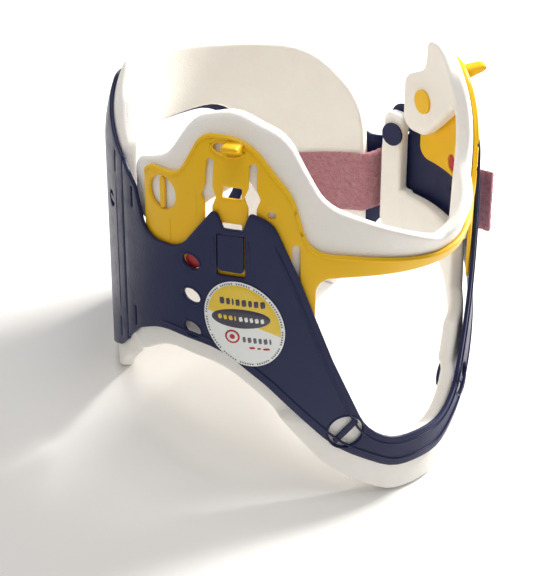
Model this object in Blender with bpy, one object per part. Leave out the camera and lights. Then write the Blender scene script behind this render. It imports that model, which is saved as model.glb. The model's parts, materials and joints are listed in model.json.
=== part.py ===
"""Adjustable child's cervical collar, closed and standing on a table.

Every sheet and pad is drawn flat on the collar's own pattern and then wrapped round the neck ring:
    s  length along the ring, 0 at the front centre line, positive towards the wearer's left (+X)
    h  height along the ring's axis
    t  distance outwards from the inside face of the body sheet
Pattern lengths are in millimetres and the finished model is in metres, +Z up, front towards -Y.
"""

import math

import bmesh
import bpy
import numpy as np
from mathutils import Matrix, Vector
from mathutils.geometry import delaunay_2d_cdt

MM = 0.001

# Neck ring, seen from above
RING_HALF_WIDTH = 77.0
RING_FRONT = 79.0
RING_REAR = 76.0
RING_FRONT_POWER = 1.85
RING_SAMPLES = 3600

# How the closed collar stands: leaning back on its breast tip and the foot of its back panel
STAND_TILT = math.radians(13.0)
STAND_LIFT = 34.0

# Where the pattern leaves the upright ring
LEAN_START = 80.0
LEAN_SPAN = 34.0
LEAN_DEPTH = 8.0
CHIN_REACH = 46.0
CHIN_START = 42.0
CHIN_SLOPE = 0.5

# Layers
GAP = 0.3
SHEET = 1.6
CHIN_SHEET = 1.6
FOAM = 6.35
PATCH = 1.2
STRAP = 2.0
POCKET = CHIN_SHEET + GAP
POCKET_REAR = 123.5
POCKET_FOOT = -9.0
POCKET_RUN = 3.0

# Chin height setting
STEP = 15.0
STEPS = 2
TRAVEL = STEP * STEPS

# Lock tab, and the ladder of openings that it catches in
LADDER_S = 79.7
LADDER_WIDTH = 8.0
LADDER_OPENING = 4.6
CATCH_HEIGHT = 55.5
TAB_WIDTH = 10.4
TAB_LENGTH = 15.4
TAB_BELOW_CATCH = 2.5
TAB_SLIT = 0.5
TAB_FOOT_GAP = 2.0

# Guide pins and the slots that run on them
PIN_DIAMETER = 2.4
SLOT_CLEARANCE = 0.4
GUIDE_PINS = ((89.5, 66.0), (71.5, 66.0), (54.5, 34.0))

# Living hinge at the rear of the right side, and the slits beside it
HINGE_S = -136.0
SLIT_SPACING = 7.5
SLIT_WIDTH = 0.9
SLIT_LENGTH = 9.0
SLIT_MARGIN = 1.2

# Size windows and the mark that shows in them
WINDOW_S = 96.5
WINDOW_TOP = 54.0
WINDOW_LONG = 7.6
WINDOW_SHORT = 5.4
WINDOW_TILT = math.radians(25.0)
MARK_DIAMETER = 7.2
MARK_DEPTH = 0.9

# Pad fasteners
BUTTON_HOLE = 14.0
BUTTON_BAR = 2.4
BUTTON_BAR_DEPTH = 1.0
BUTTON_STEM = 3.6
BUTTON_NECK = 2.0
BUTTON_DISC = 10.6
BUTTON_DISC_DEPTH = 1.2
BUTTON_REST = 0.5
SIDE_BUTTON_HOLE = 7.0
CHIN_BUTTON = (111.5, 79.0)
CHEST_BUTTON = (34.0, -18.0)
SIDE_BUTTON_LEFT = (134.0, 57.0)
SIDE_BUTTON_RIGHT = (-150.0, 62.0)

# Tube hooks on the chin piece, which pass down the notch between the horns when the chin is low
HOOK_S = 79.25
HOOK_H = 103.0
HOOK_WIDTH = 6.6
HOOK_ROOT = 4.6
HOOK_TIP = 2.0
HOOK_REACH = 8.3
HOOK_HOLLOW = (86.2, 102.0, 5.2, 3.6)

# Ends and heights shared by pieces that meet
YOKE_TOP = 30.0
LOBE_FOOT = 62.0
LOBE_REAR_RIGHT = -132.0
LOBE_REAR_LEFT = 127.5
SHELL_REAR = 141.5
BACK_FOAM_END = 151.0
REAR_OPENING = (-235.0, 37.0, 66.0, 56.0)
REAR_FOAM_SETBACK = 3.5

# Strap, its tail and the hook tape that it lands on
TAIL_TOP = 49.0
TAIL_FOOT = 10.0
TAIL_END = 128.5
TAIL_CROSSING = (152.0, 143.0)
STRAP_HINGE = 128.0
STRAP_TOP = 44.0
STRAP_FOOT = 15.5
STRAP_RISE = 0.085
STRAP_LEVEL = 150.0
STRAP_START = 196.0
STRAP_CROSSING = (150.0, 143.0)
STRAP_LEAVE = 120.0
STRAP_FREE = 34.0
STRAP_SPLAY = math.radians(7.0)
PATCH_START = 103.0
PATCH_END = 136.0

# Label
LABEL = (-74.5, 31.0, 31.0, 38.0)
LABEL_DEPTH = 0.25

# Mesh fineness
GRID = 6.5
ARC_STEP = math.radians(22.5)
ROUND_SIDES = 16
LABEL_SIDES = 28

NAVY = (0.035, 0.04, 0.11)
YELLOW = (0.80, 0.50, 0.02)
WHITE = (0.88, 0.86, 0.80)
PINK = (0.80, 0.24, 0.32)
RED = (0.50, 0.02, 0.03)
BLACK = (0.02, 0.02, 0.02)


# ---------------------------------------------------------------- the ring and its wrap

def ring_table():
    """Points of the neck ring against length from the front centre line."""
    angle = np.linspace(0.0, 2.0 * math.pi, RING_SAMPLES + 1)
    side = np.abs(np.sin(angle)) / RING_HALF_WIDTH
    front = np.abs(np.cos(angle)) / RING_FRONT
    rear = np.abs(np.cos(angle)) / RING_REAR
    front_radius = (side ** RING_FRONT_POWER + front ** RING_FRONT_POWER) ** (-1.0 / RING_FRONT_POWER)
    rear_radius = (side ** 2 + rear ** 2) ** -0.5
    radius = np.where(np.cos(angle) > 0.0, front_radius, rear_radius)
    x = radius * np.sin(angle)
    y = -radius * np.cos(angle)
    length = np.concatenate([[0.0], np.cumsum(np.hypot(np.diff(x), np.diff(y)))])
    return length, x, y


RING_LENGTH_TABLE, RING_X, RING_Y = ring_table()
RING_LENGTH = float(RING_LENGTH_TABLE[-1])
TANGENT_STEP = 0.5


def ring_point(s):
    """Plan position of the ring at length s, which may run on round the ring."""
    along = s % RING_LENGTH
    return Vector((float(np.interp(along, RING_LENGTH_TABLE, RING_X)),
                   float(np.interp(along, RING_LENGTH_TABLE, RING_Y))))


def ring_tangent(s):
    """Unit direction of growing s."""
    return (ring_point(s + TANGENT_STEP) - ring_point(s - TANGENT_STEP)).normalized()


def smooth(x):
    """Smooth step from 0 to 1."""
    x = min(1.0, max(0.0, x))
    return x * x * (3.0 - 2.0 * x)


def drift(s, h):
    """How far the pattern stands outwards of the upright ring: the wings lean in, the chin flares out."""
    lean = LEAN_DEPTH * (max(0.0, h - LEAN_START) / LEAN_SPAN) ** 2
    near_front = abs((s + RING_LENGTH / 2.0) % RING_LENGTH - RING_LENGTH / 2.0)
    reach = 0.5 + 0.5 * math.cos(math.pi * min(1.0, near_front / CHIN_REACH))
    flare = CHIN_SLOPE * max(0.0, h - CHIN_START) * reach
    return flare - lean


def stand(x, y, h):
    """Lean the upright ring back onto the table, in metres."""
    up = Vector((x, y * math.cos(STAND_TILT) + h * math.sin(STAND_TILT),
                 h * math.cos(STAND_TILT) - y * math.sin(STAND_TILT) + STAND_LIFT))
    return up * MM


def wrap(s, h, t):
    """Pattern point to its place in the model."""
    point = ring_point(s)
    along = ring_tangent(s)
    outward = Vector((along.y, -along.x))
    place = point + outward * (t + drift(s, h))
    seat = stand(place.x, place.y, h)
    return Vector((seat.x, seat.y, max(0.0, seat.z)))


def floor_height(s, above=0.0):
    """Pattern height at length s that stands this far above the table."""
    return (above - STAND_LIFT + ring_point(s).y * math.sin(STAND_TILT)) / math.cos(STAND_TILT)


# ---------------------------------------------------------------- flat outlines

def rounded(corners):
    """Closed outline through (s, h, radius) corners, each turned with its own radius."""
    outline = []
    count = len(corners)
    for index, (s, h, radius) in enumerate(corners):
        here = Vector((s, h))
        before = Vector(corners[index - 1][:2]) - here
        after = Vector(corners[(index + 1) % count][:2]) - here
        turn = before.angle(after)
        reach = radius / math.tan(turn / 2.0) if radius else 0.0
        reach = min(reach, 0.49 * before.length, 0.49 * after.length)
        if reach < 0.2:
            outline.append(here)
            continue
        start = here + before.normalized() * reach
        end = here + after.normalized() * reach
        middle = (before.normalized() + after.normalized()).normalized()
        centre = here + middle * (reach / math.cos(turn / 2.0))
        steps = max(1, round((math.pi - turn) / ARC_STEP))
        first = start - centre
        sweep = first.angle_signed(end - centre)
        for step in range(steps + 1):
            outline.append(centre + Matrix.Rotation(-sweep * step / steps, 2) @ first)
    return outline


def ellipse(s, h, long, short, tilt=0.0, sides=ROUND_SIDES):
    """Ellipse about (s, h) with its diameters, turned by tilt."""
    turn = Matrix.Rotation(tilt, 2)
    points = []
    for index in range(sides):
        angle = 2.0 * math.pi * index / sides
        points.append(Vector((s, h)) + turn @ Vector((math.cos(angle) * long / 2.0, math.sin(angle) * short / 2.0)))
    return points


def box_outline(s_low, s_high, h_low, h_high, radius=0.0):
    """Rounded rectangle on the pattern."""
    return rounded([(s_low, h_low, radius), (s_high, h_low, radius),
                    (s_high, h_high, radius), (s_low, h_high, radius)])


def inside(point, loops):
    """Even-odd test of a pattern point against an outline and its holes."""
    hit = False
    for loop in loops:
        previous = loop[-1]
        for corner in loop:
            if (corner.y > point.y) != (previous.y > point.y):
                cross = (previous.x - corner.x) * (point.y - corner.y) / (previous.y - corner.y) + corner.x
                if point.x < cross:
                    hit = not hit
            previous = corner
    return hit


def pattern_triangles(loops, columns, rows):
    """Triangles of an outline with holes, cut along a grid so that it can bend."""
    points = []
    edges = []
    for loop in loops:
        first = len(points)
        points.extend(Vector(corner) for corner in loop)
        edges.extend((first + i, first + (i + 1) % len(loop)) for i in range(len(loop)))
    s_low = min(point.x for point in points)
    s_high = max(point.x for point in points)
    h_low = min(point.y for point in points)
    h_high = max(point.y for point in points)
    grid = [k * GRID for k in range(math.ceil(s_low / GRID), math.floor(s_high / GRID) + 1)]
    bends = [h for h in np.arange(CHIN_START, h_high, GRID) if h > h_low]
    for s in grid + list(columns):
        edges.append((len(points), len(points) + 1))
        points.extend([Vector((s, h_low - 1.0)), Vector((s, h_high + 1.0))])
    for h in bends + list(rows):
        edges.append((len(points), len(points) + 1))
        points.extend([Vector((s_low - 1.0, h)), Vector((s_high + 1.0, h))])
    corners, _, faces, _, _, _ = delaunay_2d_cdt(points, edges, [], 0, 1e-4)
    kept = []
    for face in faces:
        a, b, c = face
        area = (corners[b] - corners[a]).cross(corners[c] - corners[a])
        centre = (corners[a] + corners[b] + corners[c]) / 3.0
        if abs(area) > 1e-9 and inside(centre, loops):
            kept.append((a, b, c) if area > 0.0 else (a, c, b))
    return corners, kept


# ---------------------------------------------------------------- objects

def material(name, colour, roughness, metallic=0.0):
    """A plain Principled material of this object's own."""
    finish = bpy.data.materials.new(name + "_finish")
    finish.use_nodes = True
    shader = finish.node_tree.nodes["Principled BSDF"]
    shader.inputs["Base Color"].default_value = (*colour, 1.0)
    shader.inputs["Roughness"].default_value = roughness
    shader.inputs["Metallic"].default_value = metallic
    return finish


def add_object(name, mesh, colour, roughness):
    """Link a finished mesh as a named sub-part."""
    piece = bpy.data.objects.new(name, mesh)
    mesh.materials.append(material(name, colour, roughness))
    bpy.context.collection.objects.link(piece)
    return piece


def mesh_from(bm, name):
    """Close a bmesh into a mesh with its faces outward."""
    bmesh.ops.recalc_face_normals(bm, faces=bm.faces)
    mesh = bpy.data.meshes.new(name)
    bm.to_mesh(mesh)
    bm.free()
    return mesh


def wrapped_solid(bm, loops, inner, outer, columns, rows):
    """Add a plate to bm: an outline with holes between two depths, wrapped round the ring."""
    corners, triangles = pattern_triangles(loops, columns, rows)
    used = sorted({index for triangle in triangles for index in triangle})
    near = {i: bm.verts.new(wrap(corners[i].x, corners[i].y, outer(corners[i].x, corners[i].y))) for i in used}
    far = {i: bm.verts.new(wrap(corners[i].x, corners[i].y, inner(corners[i].x, corners[i].y))) for i in used}
    rim = {}
    for a, b, c in triangles:
        bm.faces.new((near[a], near[b], near[c]))
        bm.faces.new((far[c], far[b], far[a]))
        for edge in ((a, b), (b, c), (c, a)):
            rim[edge] = True
    for a, b in rim:
        if (b, a) not in rim:
            bm.faces.new((near[b], near[a], far[a]))
            bm.faces.new((near[b], far[a], far[b]))


def plate(name, loops, inner, outer, colour, roughness, columns=(), rows=()):
    """A sheet or pad: depths are numbers or functions of (s, h)."""
    inner_at = inner if callable(inner) else (lambda s, h: inner)
    outer_at = outer if callable(outer) else (lambda s, h: outer)
    bm = bmesh.new()
    wrapped_solid(bm, loops, inner_at, outer_at, columns, rows)
    return add_object(name, mesh_from(bm, name), colour, roughness)


def frame_at(s, h, t=0.0):
    """Local axes on the pattern: x along s, y up the surface, z outwards; lengths in millimetres."""
    along = ring_tangent(s)
    x_axis = stand(along.x, along.y, 0.0) - stand(0.0, 0.0, 0.0)
    y_axis = wrap(s, h + 1.0, t) - wrap(s, h - 1.0, t)
    x_axis.normalize()
    z_axis = x_axis.cross(y_axis).normalized()
    y_axis = z_axis.cross(x_axis)
    turn = Matrix((x_axis, y_axis, z_axis)).transposed().to_4x4()
    return Matrix.Translation(wrap(s, h, t)) @ turn @ Matrix.Scale(MM, 4)


def add_prism(bm, outline, low, high, frame):
    """Straight prism of a flat outline between two depths of a local frame."""
    bottom = [bm.verts.new(frame @ Vector((p[0], p[1], low))) for p in outline]
    top = [bm.verts.new(frame @ Vector((p[0], p[1], high))) for p in outline]
    bm.faces.new(list(reversed(bottom)))
    bm.faces.new(top)
    for i in range(len(outline)):
        j = (i + 1) % len(outline)
        bm.faces.new((bottom[i], bottom[j], top[j], top[i]))


def circle(diameter, sides=ROUND_SIDES):
    """Round outline about the local origin."""
    angles = [2.0 * math.pi * (i + 0.5) / sides for i in range(sides)]
    return [(math.cos(angle) * diameter / 2.0, math.sin(angle) * diameter / 2.0) for angle in angles]


def bar(length, width):
    """Round-ended bar along the local x axis, with as many points as a circle."""
    half = (length - width) / 2.0
    points = []
    for i in range(ROUND_SIDES):
        angle = 2.0 * math.pi * (i + 0.5) / ROUND_SIDES
        middle = math.copysign(half, math.cos(angle))
        points.append((middle + math.cos(angle) * width / 2.0, math.sin(angle) * width / 2.0))
    return points


def lofted(name, rings, frame, colour, roughness):
    """Solid through a stack of (outline, depth) rings with matching points, closed at both ends."""
    bm = bmesh.new()
    rows = [[bm.verts.new(frame @ Vector((p[0], p[1], depth))) for p in outline] for outline, depth in rings]
    bm.faces.new(list(reversed(rows[0])))
    bm.faces.new(rows[-1])
    for below, above in zip(rows, rows[1:]):
        for i in range(ROUND_SIDES):
            j = (i + 1) % ROUND_SIDES
            bm.faces.new((below[i], below[j], above[j], above[i]))
    return add_object(name, mesh_from(bm, name), colour, roughness)


def set_origin(piece, point):
    """Move a piece's origin without moving the piece."""
    piece.data.transform(Matrix.Translation(-point))
    piece.location = point


def side_name(base, side):
    """Name of a paired piece on the wearer's right (-1) or left (+1)."""
    return f"{base}_{'right' if side < 0 else 'left'}"


# ---------------------------------------------------------------- body sheet

OPENING_EDGE = ((22.0, -26.0, 24.0), (39.5, 15.0, 60.0), (53.0, 52.0, 40.0), (63.0, 75.5, 12.0))
HORNS = ((72.0, 79.0, 1.5), (75.0, 71.2, 1.0), (82.5, 71.2, 1.0), (86.0, 79.5, 2.0), (102.0, 58.5, 12.0))
SHELL_FOOT = ((13.0, -39.8, 26.0), (38.0, -25.5, 50.0), (66.0, 4.0, 50.0), (84.0, 18.0, 30.0), (112.0, 20.5, 25.0))
SHELL_RIGHT_END = ((-120.0, 58.5, 10.0), (-126.0, 77.0, 4.0), (HINGE_S + GAP / 2.0, 85.5, 0.0),
                   (HINGE_S + GAP / 2.0, 4.5, 0.0), (-126.0, 13.5, 14.0))
SHELL_LEFT_END = ((126.0, 13.5, 14.0), (SHELL_REAR, 6.0, 6.0), (SHELL_REAR, 50.0, 12.0),
                  (SHELL_REAR - 2.0, 68.0, 5.0), (127.0, 70.0, 5.0), (122.0, 58.5, 10.0))


def on_right(corners):
    """Left-side corners moved to the right side, in the same order."""
    return [(-s, h, radius) for s, h, radius in corners]


def shell_outline():
    """Whole edge of the front shell, from the breast round by the left side."""
    outline = list(SHELL_FOOT)
    outline += SHELL_LEFT_END
    outline += reversed(HORNS)
    outline += reversed(OPENING_EDGE)
    outline += on_right(OPENING_EDGE)
    outline += on_right(HORNS)
    outline += SHELL_RIGHT_END
    outline += reversed(on_right(SHELL_FOOT))
    return rounded(outline)


def slits(s, top, foot):
    """The two slits of one fold line, just inside the sheet's edges."""
    half = SLIT_WIDTH / 2.0
    high = top - SLIT_MARGIN
    low = foot + SLIT_MARGIN
    return [box_outline(s - half, s + half, high - SLIT_LENGTH, high),
            box_outline(s - half, s + half, low, low + SLIT_LENGTH)]


def shell_side_holes(side):
    """Size windows, lock tab opening and chest button hole of one side."""
    holes = []
    for index in range(STEPS + 1):
        height = WINDOW_TOP - STEP * index
        holes.append(ellipse(side * WINDOW_S, height, WINDOW_LONG, WINDOW_SHORT, side * WINDOW_TILT))
    half = TAB_WIDTH / 2.0 + TAB_SLIT
    foot = CATCH_HEIGHT - TAB_BELOW_CATCH
    middle = side * LADDER_S
    holes.append(box_outline(middle - half, middle + half, foot - TAB_FOOT_GAP, foot + TAB_LENGTH + GAP, 0.8))
    holes.append(ellipse(side * CHEST_BUTTON[0], CHEST_BUTTON[1], BUTTON_HOLE, BUTTON_HOLE))
    return holes


def make_front_shell():
    """Front yoke with both sides, the tracheal opening, horns, windows and fastener holes."""
    loops = [shell_outline()]
    for side in (-1, 1):
        loops += shell_side_holes(side)
    loops += slits(HINGE_S + SLIT_SPACING, 77.5, 12.5)
    loops.append(ellipse(*SIDE_BUTTON_LEFT, SIDE_BUTTON_HOLE, SIDE_BUTTON_HOLE))
    return plate("front_shell", loops, 0.0, SHEET, NAVY, 0.35)


def make_lock_tab(side):
    """Spring tongue cut in the sheet; it bends outwards at its upper end to free the chin piece."""
    half = TAB_WIDTH / 2.0
    foot = CATCH_HEIGHT - TAB_BELOW_CATCH
    top = foot + TAB_LENGTH
    middle = side * LADDER_S
    outline = rounded([(middle - half, foot, 1.5), (middle + half, foot, 1.5),
                       (middle + half, top, 0.0), (middle - half, top, 0.0)])
    tab = plate(side_name("lock_tab", side), [outline], 0.0, SHEET, NAVY, 0.35)
    set_origin(tab, wrap(middle, top, SHEET))


def make_guide_pin(side, index):
    """Stub on the inside of the sheet that a slot of the chin piece runs on."""
    s, h = GUIDE_PINS[index]
    name = f"{side_name('guide_pin', side)}_{index + 1}"
    ends = [(circle(PIN_DIAMETER), -GAP - CHIN_SHEET), (circle(PIN_DIAMETER), -GAP)]
    lofted(name, ends, frame_at(side * s, h), NAVY, 0.35)


# ---------------------------------------------------------------- chin piece

CHIN_TOP = ((49.0, 62.0, 12.0), (55.5, 86.0, 22.0), (74.0, 107.0, 22.0), (95.0, 106.5, 8.0),
            (103.5, 88.8, 8.0), (122.0, 88.8, 4.5))
CHIN_FOOT = ((46.5, 51.0, 6.0), (47.0, 22.0, 5.0), (62.0, 22.0, 5.0), (62.0, 48.0, 4.0), (122.0, 48.0, 6.0))
CHIN_FRONT_TOP = 58.5
CHIN_FRONT_FOOT = 52.5
DIMPLE = (64.0, 78.0)
DIMPLE_DIAMETER = 3.2


def guide_slot(side, index, wide_at=None):
    """Slot that lets the chin piece travel on one pin, with a wider place where the pin is put in."""
    s, h = GUIDE_PINS[index]
    half = PIN_DIAMETER / 2.0 + SLOT_CLEARANCE
    low = h - half
    high = h + TRAVEL + half
    corners = [(s - half, low, half * 0.9), (s + half, low, half * 0.9)]
    if wide_at:
        corners += [(s + half, wide_at - 4.0, 0.0), (s + half * 2.0, wide_at, 0.0), (s + half, wide_at + 4.0, 0.0)]
    corners += [(s + half, high, half * 0.9), (s - half, high, half * 0.9)]
    if wide_at:
        corners += [(s - half, wide_at + 4.0, 0.0), (s - half * 2.0, wide_at, 0.0), (s - half, wide_at - 4.0, 0.0)]
    if side < 0:
        corners = list(reversed(on_right(corners)))
    return rounded(corners)


SLOT_WIDENINGS = (83.0, 84.0, None)


def chin_side_holes(side):
    """Slots, ladder, mark seat, button hole, dimple and the hollow beside the tube hook of one side."""
    holes = [guide_slot(side, index, SLOT_WIDENINGS[index]) for index in range(len(GUIDE_PINS))]
    half = LADDER_WIDTH / 2.0
    for index in range(STEPS + 1):
        middle = CATCH_HEIGHT + STEP * index
        holes.append(box_outline(side * LADDER_S - half, side * LADDER_S + half,
                                 middle - LADDER_OPENING / 2.0, middle + LADDER_OPENING / 2.0, 0.6))
    seat = MARK_DIAMETER + 2.0 * GAP
    holes.append(ellipse(side * WINDOW_S, WINDOW_TOP, seat, seat))
    holes.append(ellipse(side * CHIN_BUTTON[0], CHIN_BUTTON[1], BUTTON_HOLE, BUTTON_HOLE))
    holes.append(ellipse(side * DIMPLE[0], DIMPLE[1], DIMPLE_DIAMETER, DIMPLE_DIAMETER))
    s, h, long, short = HOOK_HOLLOW
    holes.append(ellipse(side * s, h, long, short))
    return holes


def make_chin_piece():
    """Sliding chin piece: one band round the chin with a wing each side."""
    outline = [(0.0, CHIN_FRONT_FOOT, 0.0), *CHIN_FOOT, *reversed(CHIN_TOP), (0.0, CHIN_FRONT_TOP, 0.0)]
    outline += on_right(CHIN_TOP)
    outline += reversed(on_right(CHIN_FOOT))
    loops = [rounded(outline)]
    for side in (-1, 1):
        loops += chin_side_holes(side)
    return plate("chin_piece", loops, -GAP - CHIN_SHEET, -GAP, YELLOW, 0.4)


def make_hook(side):
    """Hook for an oxygen tube: a tapered tongue standing off the wing."""
    frame = frame_at(side * HOOK_S, HOOK_H) @ Matrix.Rotation(math.radians(90.0), 4, "Y")
    root = HOOK_ROOT / 2.0
    tip = HOOK_TIP / 2.0
    outline = [(0.0, -root), (0.0, root), (-HOOK_REACH + 1.5, tip + 0.4), (-HOOK_REACH, tip - 0.4),
               (-HOOK_REACH, 0.4 - tip), (-HOOK_REACH + 1.5, -tip - 0.4)]
    bm = bmesh.new()
    add_prism(bm, outline, -HOOK_WIDTH / 2.0, HOOK_WIDTH / 2.0, frame)
    name = side_name("cannula_hook", side)
    add_object(name, mesh_from(bm, name), YELLOW, 0.4)


def make_size_mark(side):
    """Coloured disc in the chin piece that shows the setting through the size windows."""
    top = -GAP * 2.0
    ends = [(circle(MARK_DIAMETER), top - MARK_DEPTH), (circle(MARK_DIAMETER), top)]
    lofted(side_name("size_mark", side), ends, frame_at(side * WINDOW_S, WINDOW_TOP), RED, 0.5)


# ---------------------------------------------------------------- foam pads

CHIN_FOAM_TOP = ((14.0, 71.0, 20.0), (42.0, 80.0, 20.0), (58.0, 107.0, 18.0), (82.0, 115.0, 24.0),
                 (101.5, 110.5, 14.0), (112.0, 93.5, 14.0))
CHIN_FOAM_FOOT = ((45.5, 50.5, 4.0), (46.5, 39.5, 4.0), (62.0, 39.5, 5.0), (67.0, 80.0, 8.0),
                  (74.0, 91.0, 3.0), (90.0, 80.0, 20.0), (112.0, LOBE_FOOT, 10.0))
CHIN_FOAM_FRONT_TOP = 65.5
LOBE_TOP = 87.0
YOKE_FOOT = ((13.0, -52.8, 24.0), (40.0, -37.5, 50.0), (66.0, -6.0, 50.0), (84.0, 8.0, 30.0), (112.0, 11.0, 25.0))
YOKE_EDGE = ((21.0, -28.5, 24.0), (36.5, 7.0, 4.0), (66.5, 7.0, 3.0), (68.5, YOKE_TOP, 4.0))


def stem_hole(s, h):
    """Hole in a pad for a button's stem."""
    size = BUTTON_STEM + 2.0 * GAP
    return ellipse(s, h, size, size)


def make_chin_foam():
    """Pad behind the chin piece, from ear to ear under the chin."""
    left_lobe = [(LOBE_REAR_LEFT, LOBE_FOOT, 8.0), (LOBE_REAR_LEFT, LOBE_TOP, 6.0)]
    right_lobe = [(LOBE_REAR_RIGHT, LOBE_TOP, 6.0), (LOBE_REAR_RIGHT, LOBE_FOOT, 8.0)]
    outline = [*CHIN_FOAM_FOOT, *left_lobe, *reversed(CHIN_FOAM_TOP), (0.0, CHIN_FOAM_FRONT_TOP, 0.0)]
    outline += on_right(CHIN_FOAM_TOP)
    outline += right_lobe
    outline += reversed(on_right(CHIN_FOAM_FOOT))
    loops = [rounded(outline)]
    for side in (-1, 1):
        loops.append(stem_hole(side * CHIN_BUTTON[0], CHIN_BUTTON[1]))
    outer = -2.0 * GAP - CHIN_SHEET
    return plate("chin_foam", loops, outer - FOAM, outer, WHITE, 0.9)


def pocket(s, h):
    """Depth of the yoke pad's outer face: set back where the chin piece slides between it and the sheet."""
    side = 1.0 - smooth((abs(s) - POCKET_REAR) / POCKET_RUN)
    foot = smooth((h - POCKET_FOOT) / POCKET_RUN + 1.0)
    return -GAP - POCKET * side * foot


def make_yoke_foam():
    """Pad of the front shell: breast, collar bones and the lower sides."""
    left_end = [(SHELL_REAR, 5.0, 8.0), (SHELL_REAR, 48.0, 10.0), (SHELL_REAR - 1.5, 66.5, 4.0), (129.5, 66.0, 3.0),
                (129.5, YOKE_TOP, 1.0)]
    right_end = [(-134.5, YOKE_TOP, 3.0), (-134.5, -2.0, 6.0)]
    outline = [*YOKE_FOOT, *left_end, *reversed(YOKE_EDGE)]
    outline += on_right(YOKE_EDGE)
    outline += right_end
    outline += reversed(on_right(YOKE_FOOT))
    loops = [rounded(outline)]
    for side in (-1, 1):
        loops.append(stem_hole(side * CHEST_BUTTON[0], CHEST_BUTTON[1]))
    loops.append(stem_hole(*SIDE_BUTTON_LEFT))
    edges = [sign * s for sign in (-1, 1) for s in (POCKET_REAR, POCKET_REAR + POCKET_RUN)]
    return plate("yoke_foam", loops, lambda s, h: pocket(s, h) - FOAM, pocket, WHITE, 0.9,
                 columns=edges, rows=(POCKET_FOOT, POCKET_FOOT - POCKET_RUN))


# ---------------------------------------------------------------- back panel

BACK_TOP = ((HINGE_S - GAP / 2.0, 85.5, 0.0), (-152.0, 94.0, 8.0), (-176.0, 105.0, 20.0), (-259.0, 91.0, 60.0),
            (-298.0, 84.0, 30.0), (-319.0, 66.0, 24.0), (-329.0, 51.0, 10.0))
BACK_FOAM_TOP = ((-137.5, 90.0, 2.0), (-153.0, 102.5, 10.0), (-176.0, 110.5, 20.0), (-259.0, 97.0, 60.0),
                 (-303.0, 91.5, 42.0), (-329.0, 68.0, 40.0))
BACK_FOAM_FOOT = (-137.5, -5.0, 4.0)
BACK_FOAM_SINK = 2.0
BACK_CLEAR = 8.0


def round_the_back(s):
    """The same place on the ring, counted round the right side so that it runs on from the hinge."""
    return s - RING_LENGTH


def floor_run(first, last, above):
    """Corners that follow the table at a set height between two lengths."""
    count = max(1, round(abs(last - first) / GRID))
    corners = []
    for index in range(count + 1):
        s = first + (last - first) * index / count
        corners.append((s, floor_height(s, above), 0.0))
    return corners


def tail_depth(s, h):
    """The sheet runs on the ring, then steps out over the strap at the tail."""
    first, last = (round_the_back(end) for end in TAIL_CROSSING)
    over = SHEET + PATCH + STRAP + 3.0 * GAP
    return over * min(1.0, max(0.0, (s - first) / (last - first)))


def make_back_panel():
    """Rear panel with its opening, the fold at its right end and the tail that the strap passes under."""
    end = round_the_back(TAIL_END)
    outline = [*BACK_TOP, (round_the_back(146.0), TAIL_TOP, 8.0), (end, TAIL_TOP, 6.0), (end, TAIL_FOOT, 6.0),
               (round_the_back(146.0), TAIL_FOOT, 8.0)]
    outline += floor_run(round_the_back(158.0), -170.0, BACK_CLEAR)
    outline += [(-146.0, -4.5, 10.0), (HINGE_S - GAP / 2.0, 3.5, 0.0)]
    s, h, long, tall = REAR_OPENING
    hole = box_outline(s - long / 2.0, s + long / 2.0, h - tall / 2.0, h + tall / 2.0, 20.0)
    loops = [rounded(list(reversed(outline))), hole]
    loops += slits(HINGE_S - SLIT_SPACING, 87.0, 0.0)
    loops.append(ellipse(*SIDE_BUTTON_RIGHT, SIDE_BUTTON_HOLE, SIDE_BUTTON_HOLE))
    crossing = [round_the_back(end) for end in TAIL_CROSSING]
    panel = plate("back_panel", loops, tail_depth, lambda s, h: tail_depth(s, h) + SHEET, NAVY, 0.35,
                  columns=crossing)
    set_origin(panel, hinge_point())


def hinge_point():
    """Where the fold's axis leaves the top of the sheet's outer face."""
    return wrap(HINGE_S, CHIN_START, SHEET)


def make_back_foam():
    """Pad of the back panel; its foot is flat on the table."""
    end = round_the_back(BACK_FOAM_END)
    outline = [*BACK_FOAM_TOP, (end, 40.0, 6.0), (end, -12.0, 4.0)]
    outline += floor_run(round_the_back(166.0), -166.0, -BACK_FOAM_SINK)
    outline.append(BACK_FOAM_FOOT)
    s, h, long, tall = REAR_OPENING
    half_long = long / 2.0 + REAR_FOAM_SETBACK
    half_tall = tall / 2.0 + REAR_FOAM_SETBACK
    hole = box_outline(s - half_long, s + half_long, h - half_tall, h + half_tall, 22.0)
    loops = [rounded(list(reversed(outline))), hole, stem_hole(*SIDE_BUTTON_RIGHT)]
    foam = plate("back_foam", loops, -GAP - FOAM, -GAP, WHITE, 0.9)
    set_origin(foam, hinge_point())


def make_button(name, s, h, hole, foam_inner, plate_middle, tilt, colour):
    """Pad fastener: a bar in the sheet's hole, a stem through the pad and a disc on its inner face."""
    bar_low = plate_middle - BUTTON_BAR_DEPTH / 2.0
    bar_high = plate_middle + BUTTON_BAR_DEPTH / 2.0
    disc_top = foam_inner - BUTTON_REST
    crossbar = bar(hole - 2.0 * GAP, BUTTON_BAR)
    rings = [(circle(BUTTON_DISC), disc_top - BUTTON_DISC_DEPTH), (circle(BUTTON_DISC), disc_top),
             (circle(BUTTON_STEM), disc_top), (circle(BUTTON_NECK), bar_low),
             (crossbar, bar_low), (crossbar, bar_high)]
    return lofted(name, rings, frame_at(s, h) @ Matrix.Rotation(tilt, 4, "Z"), colour, 0.4)


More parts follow.
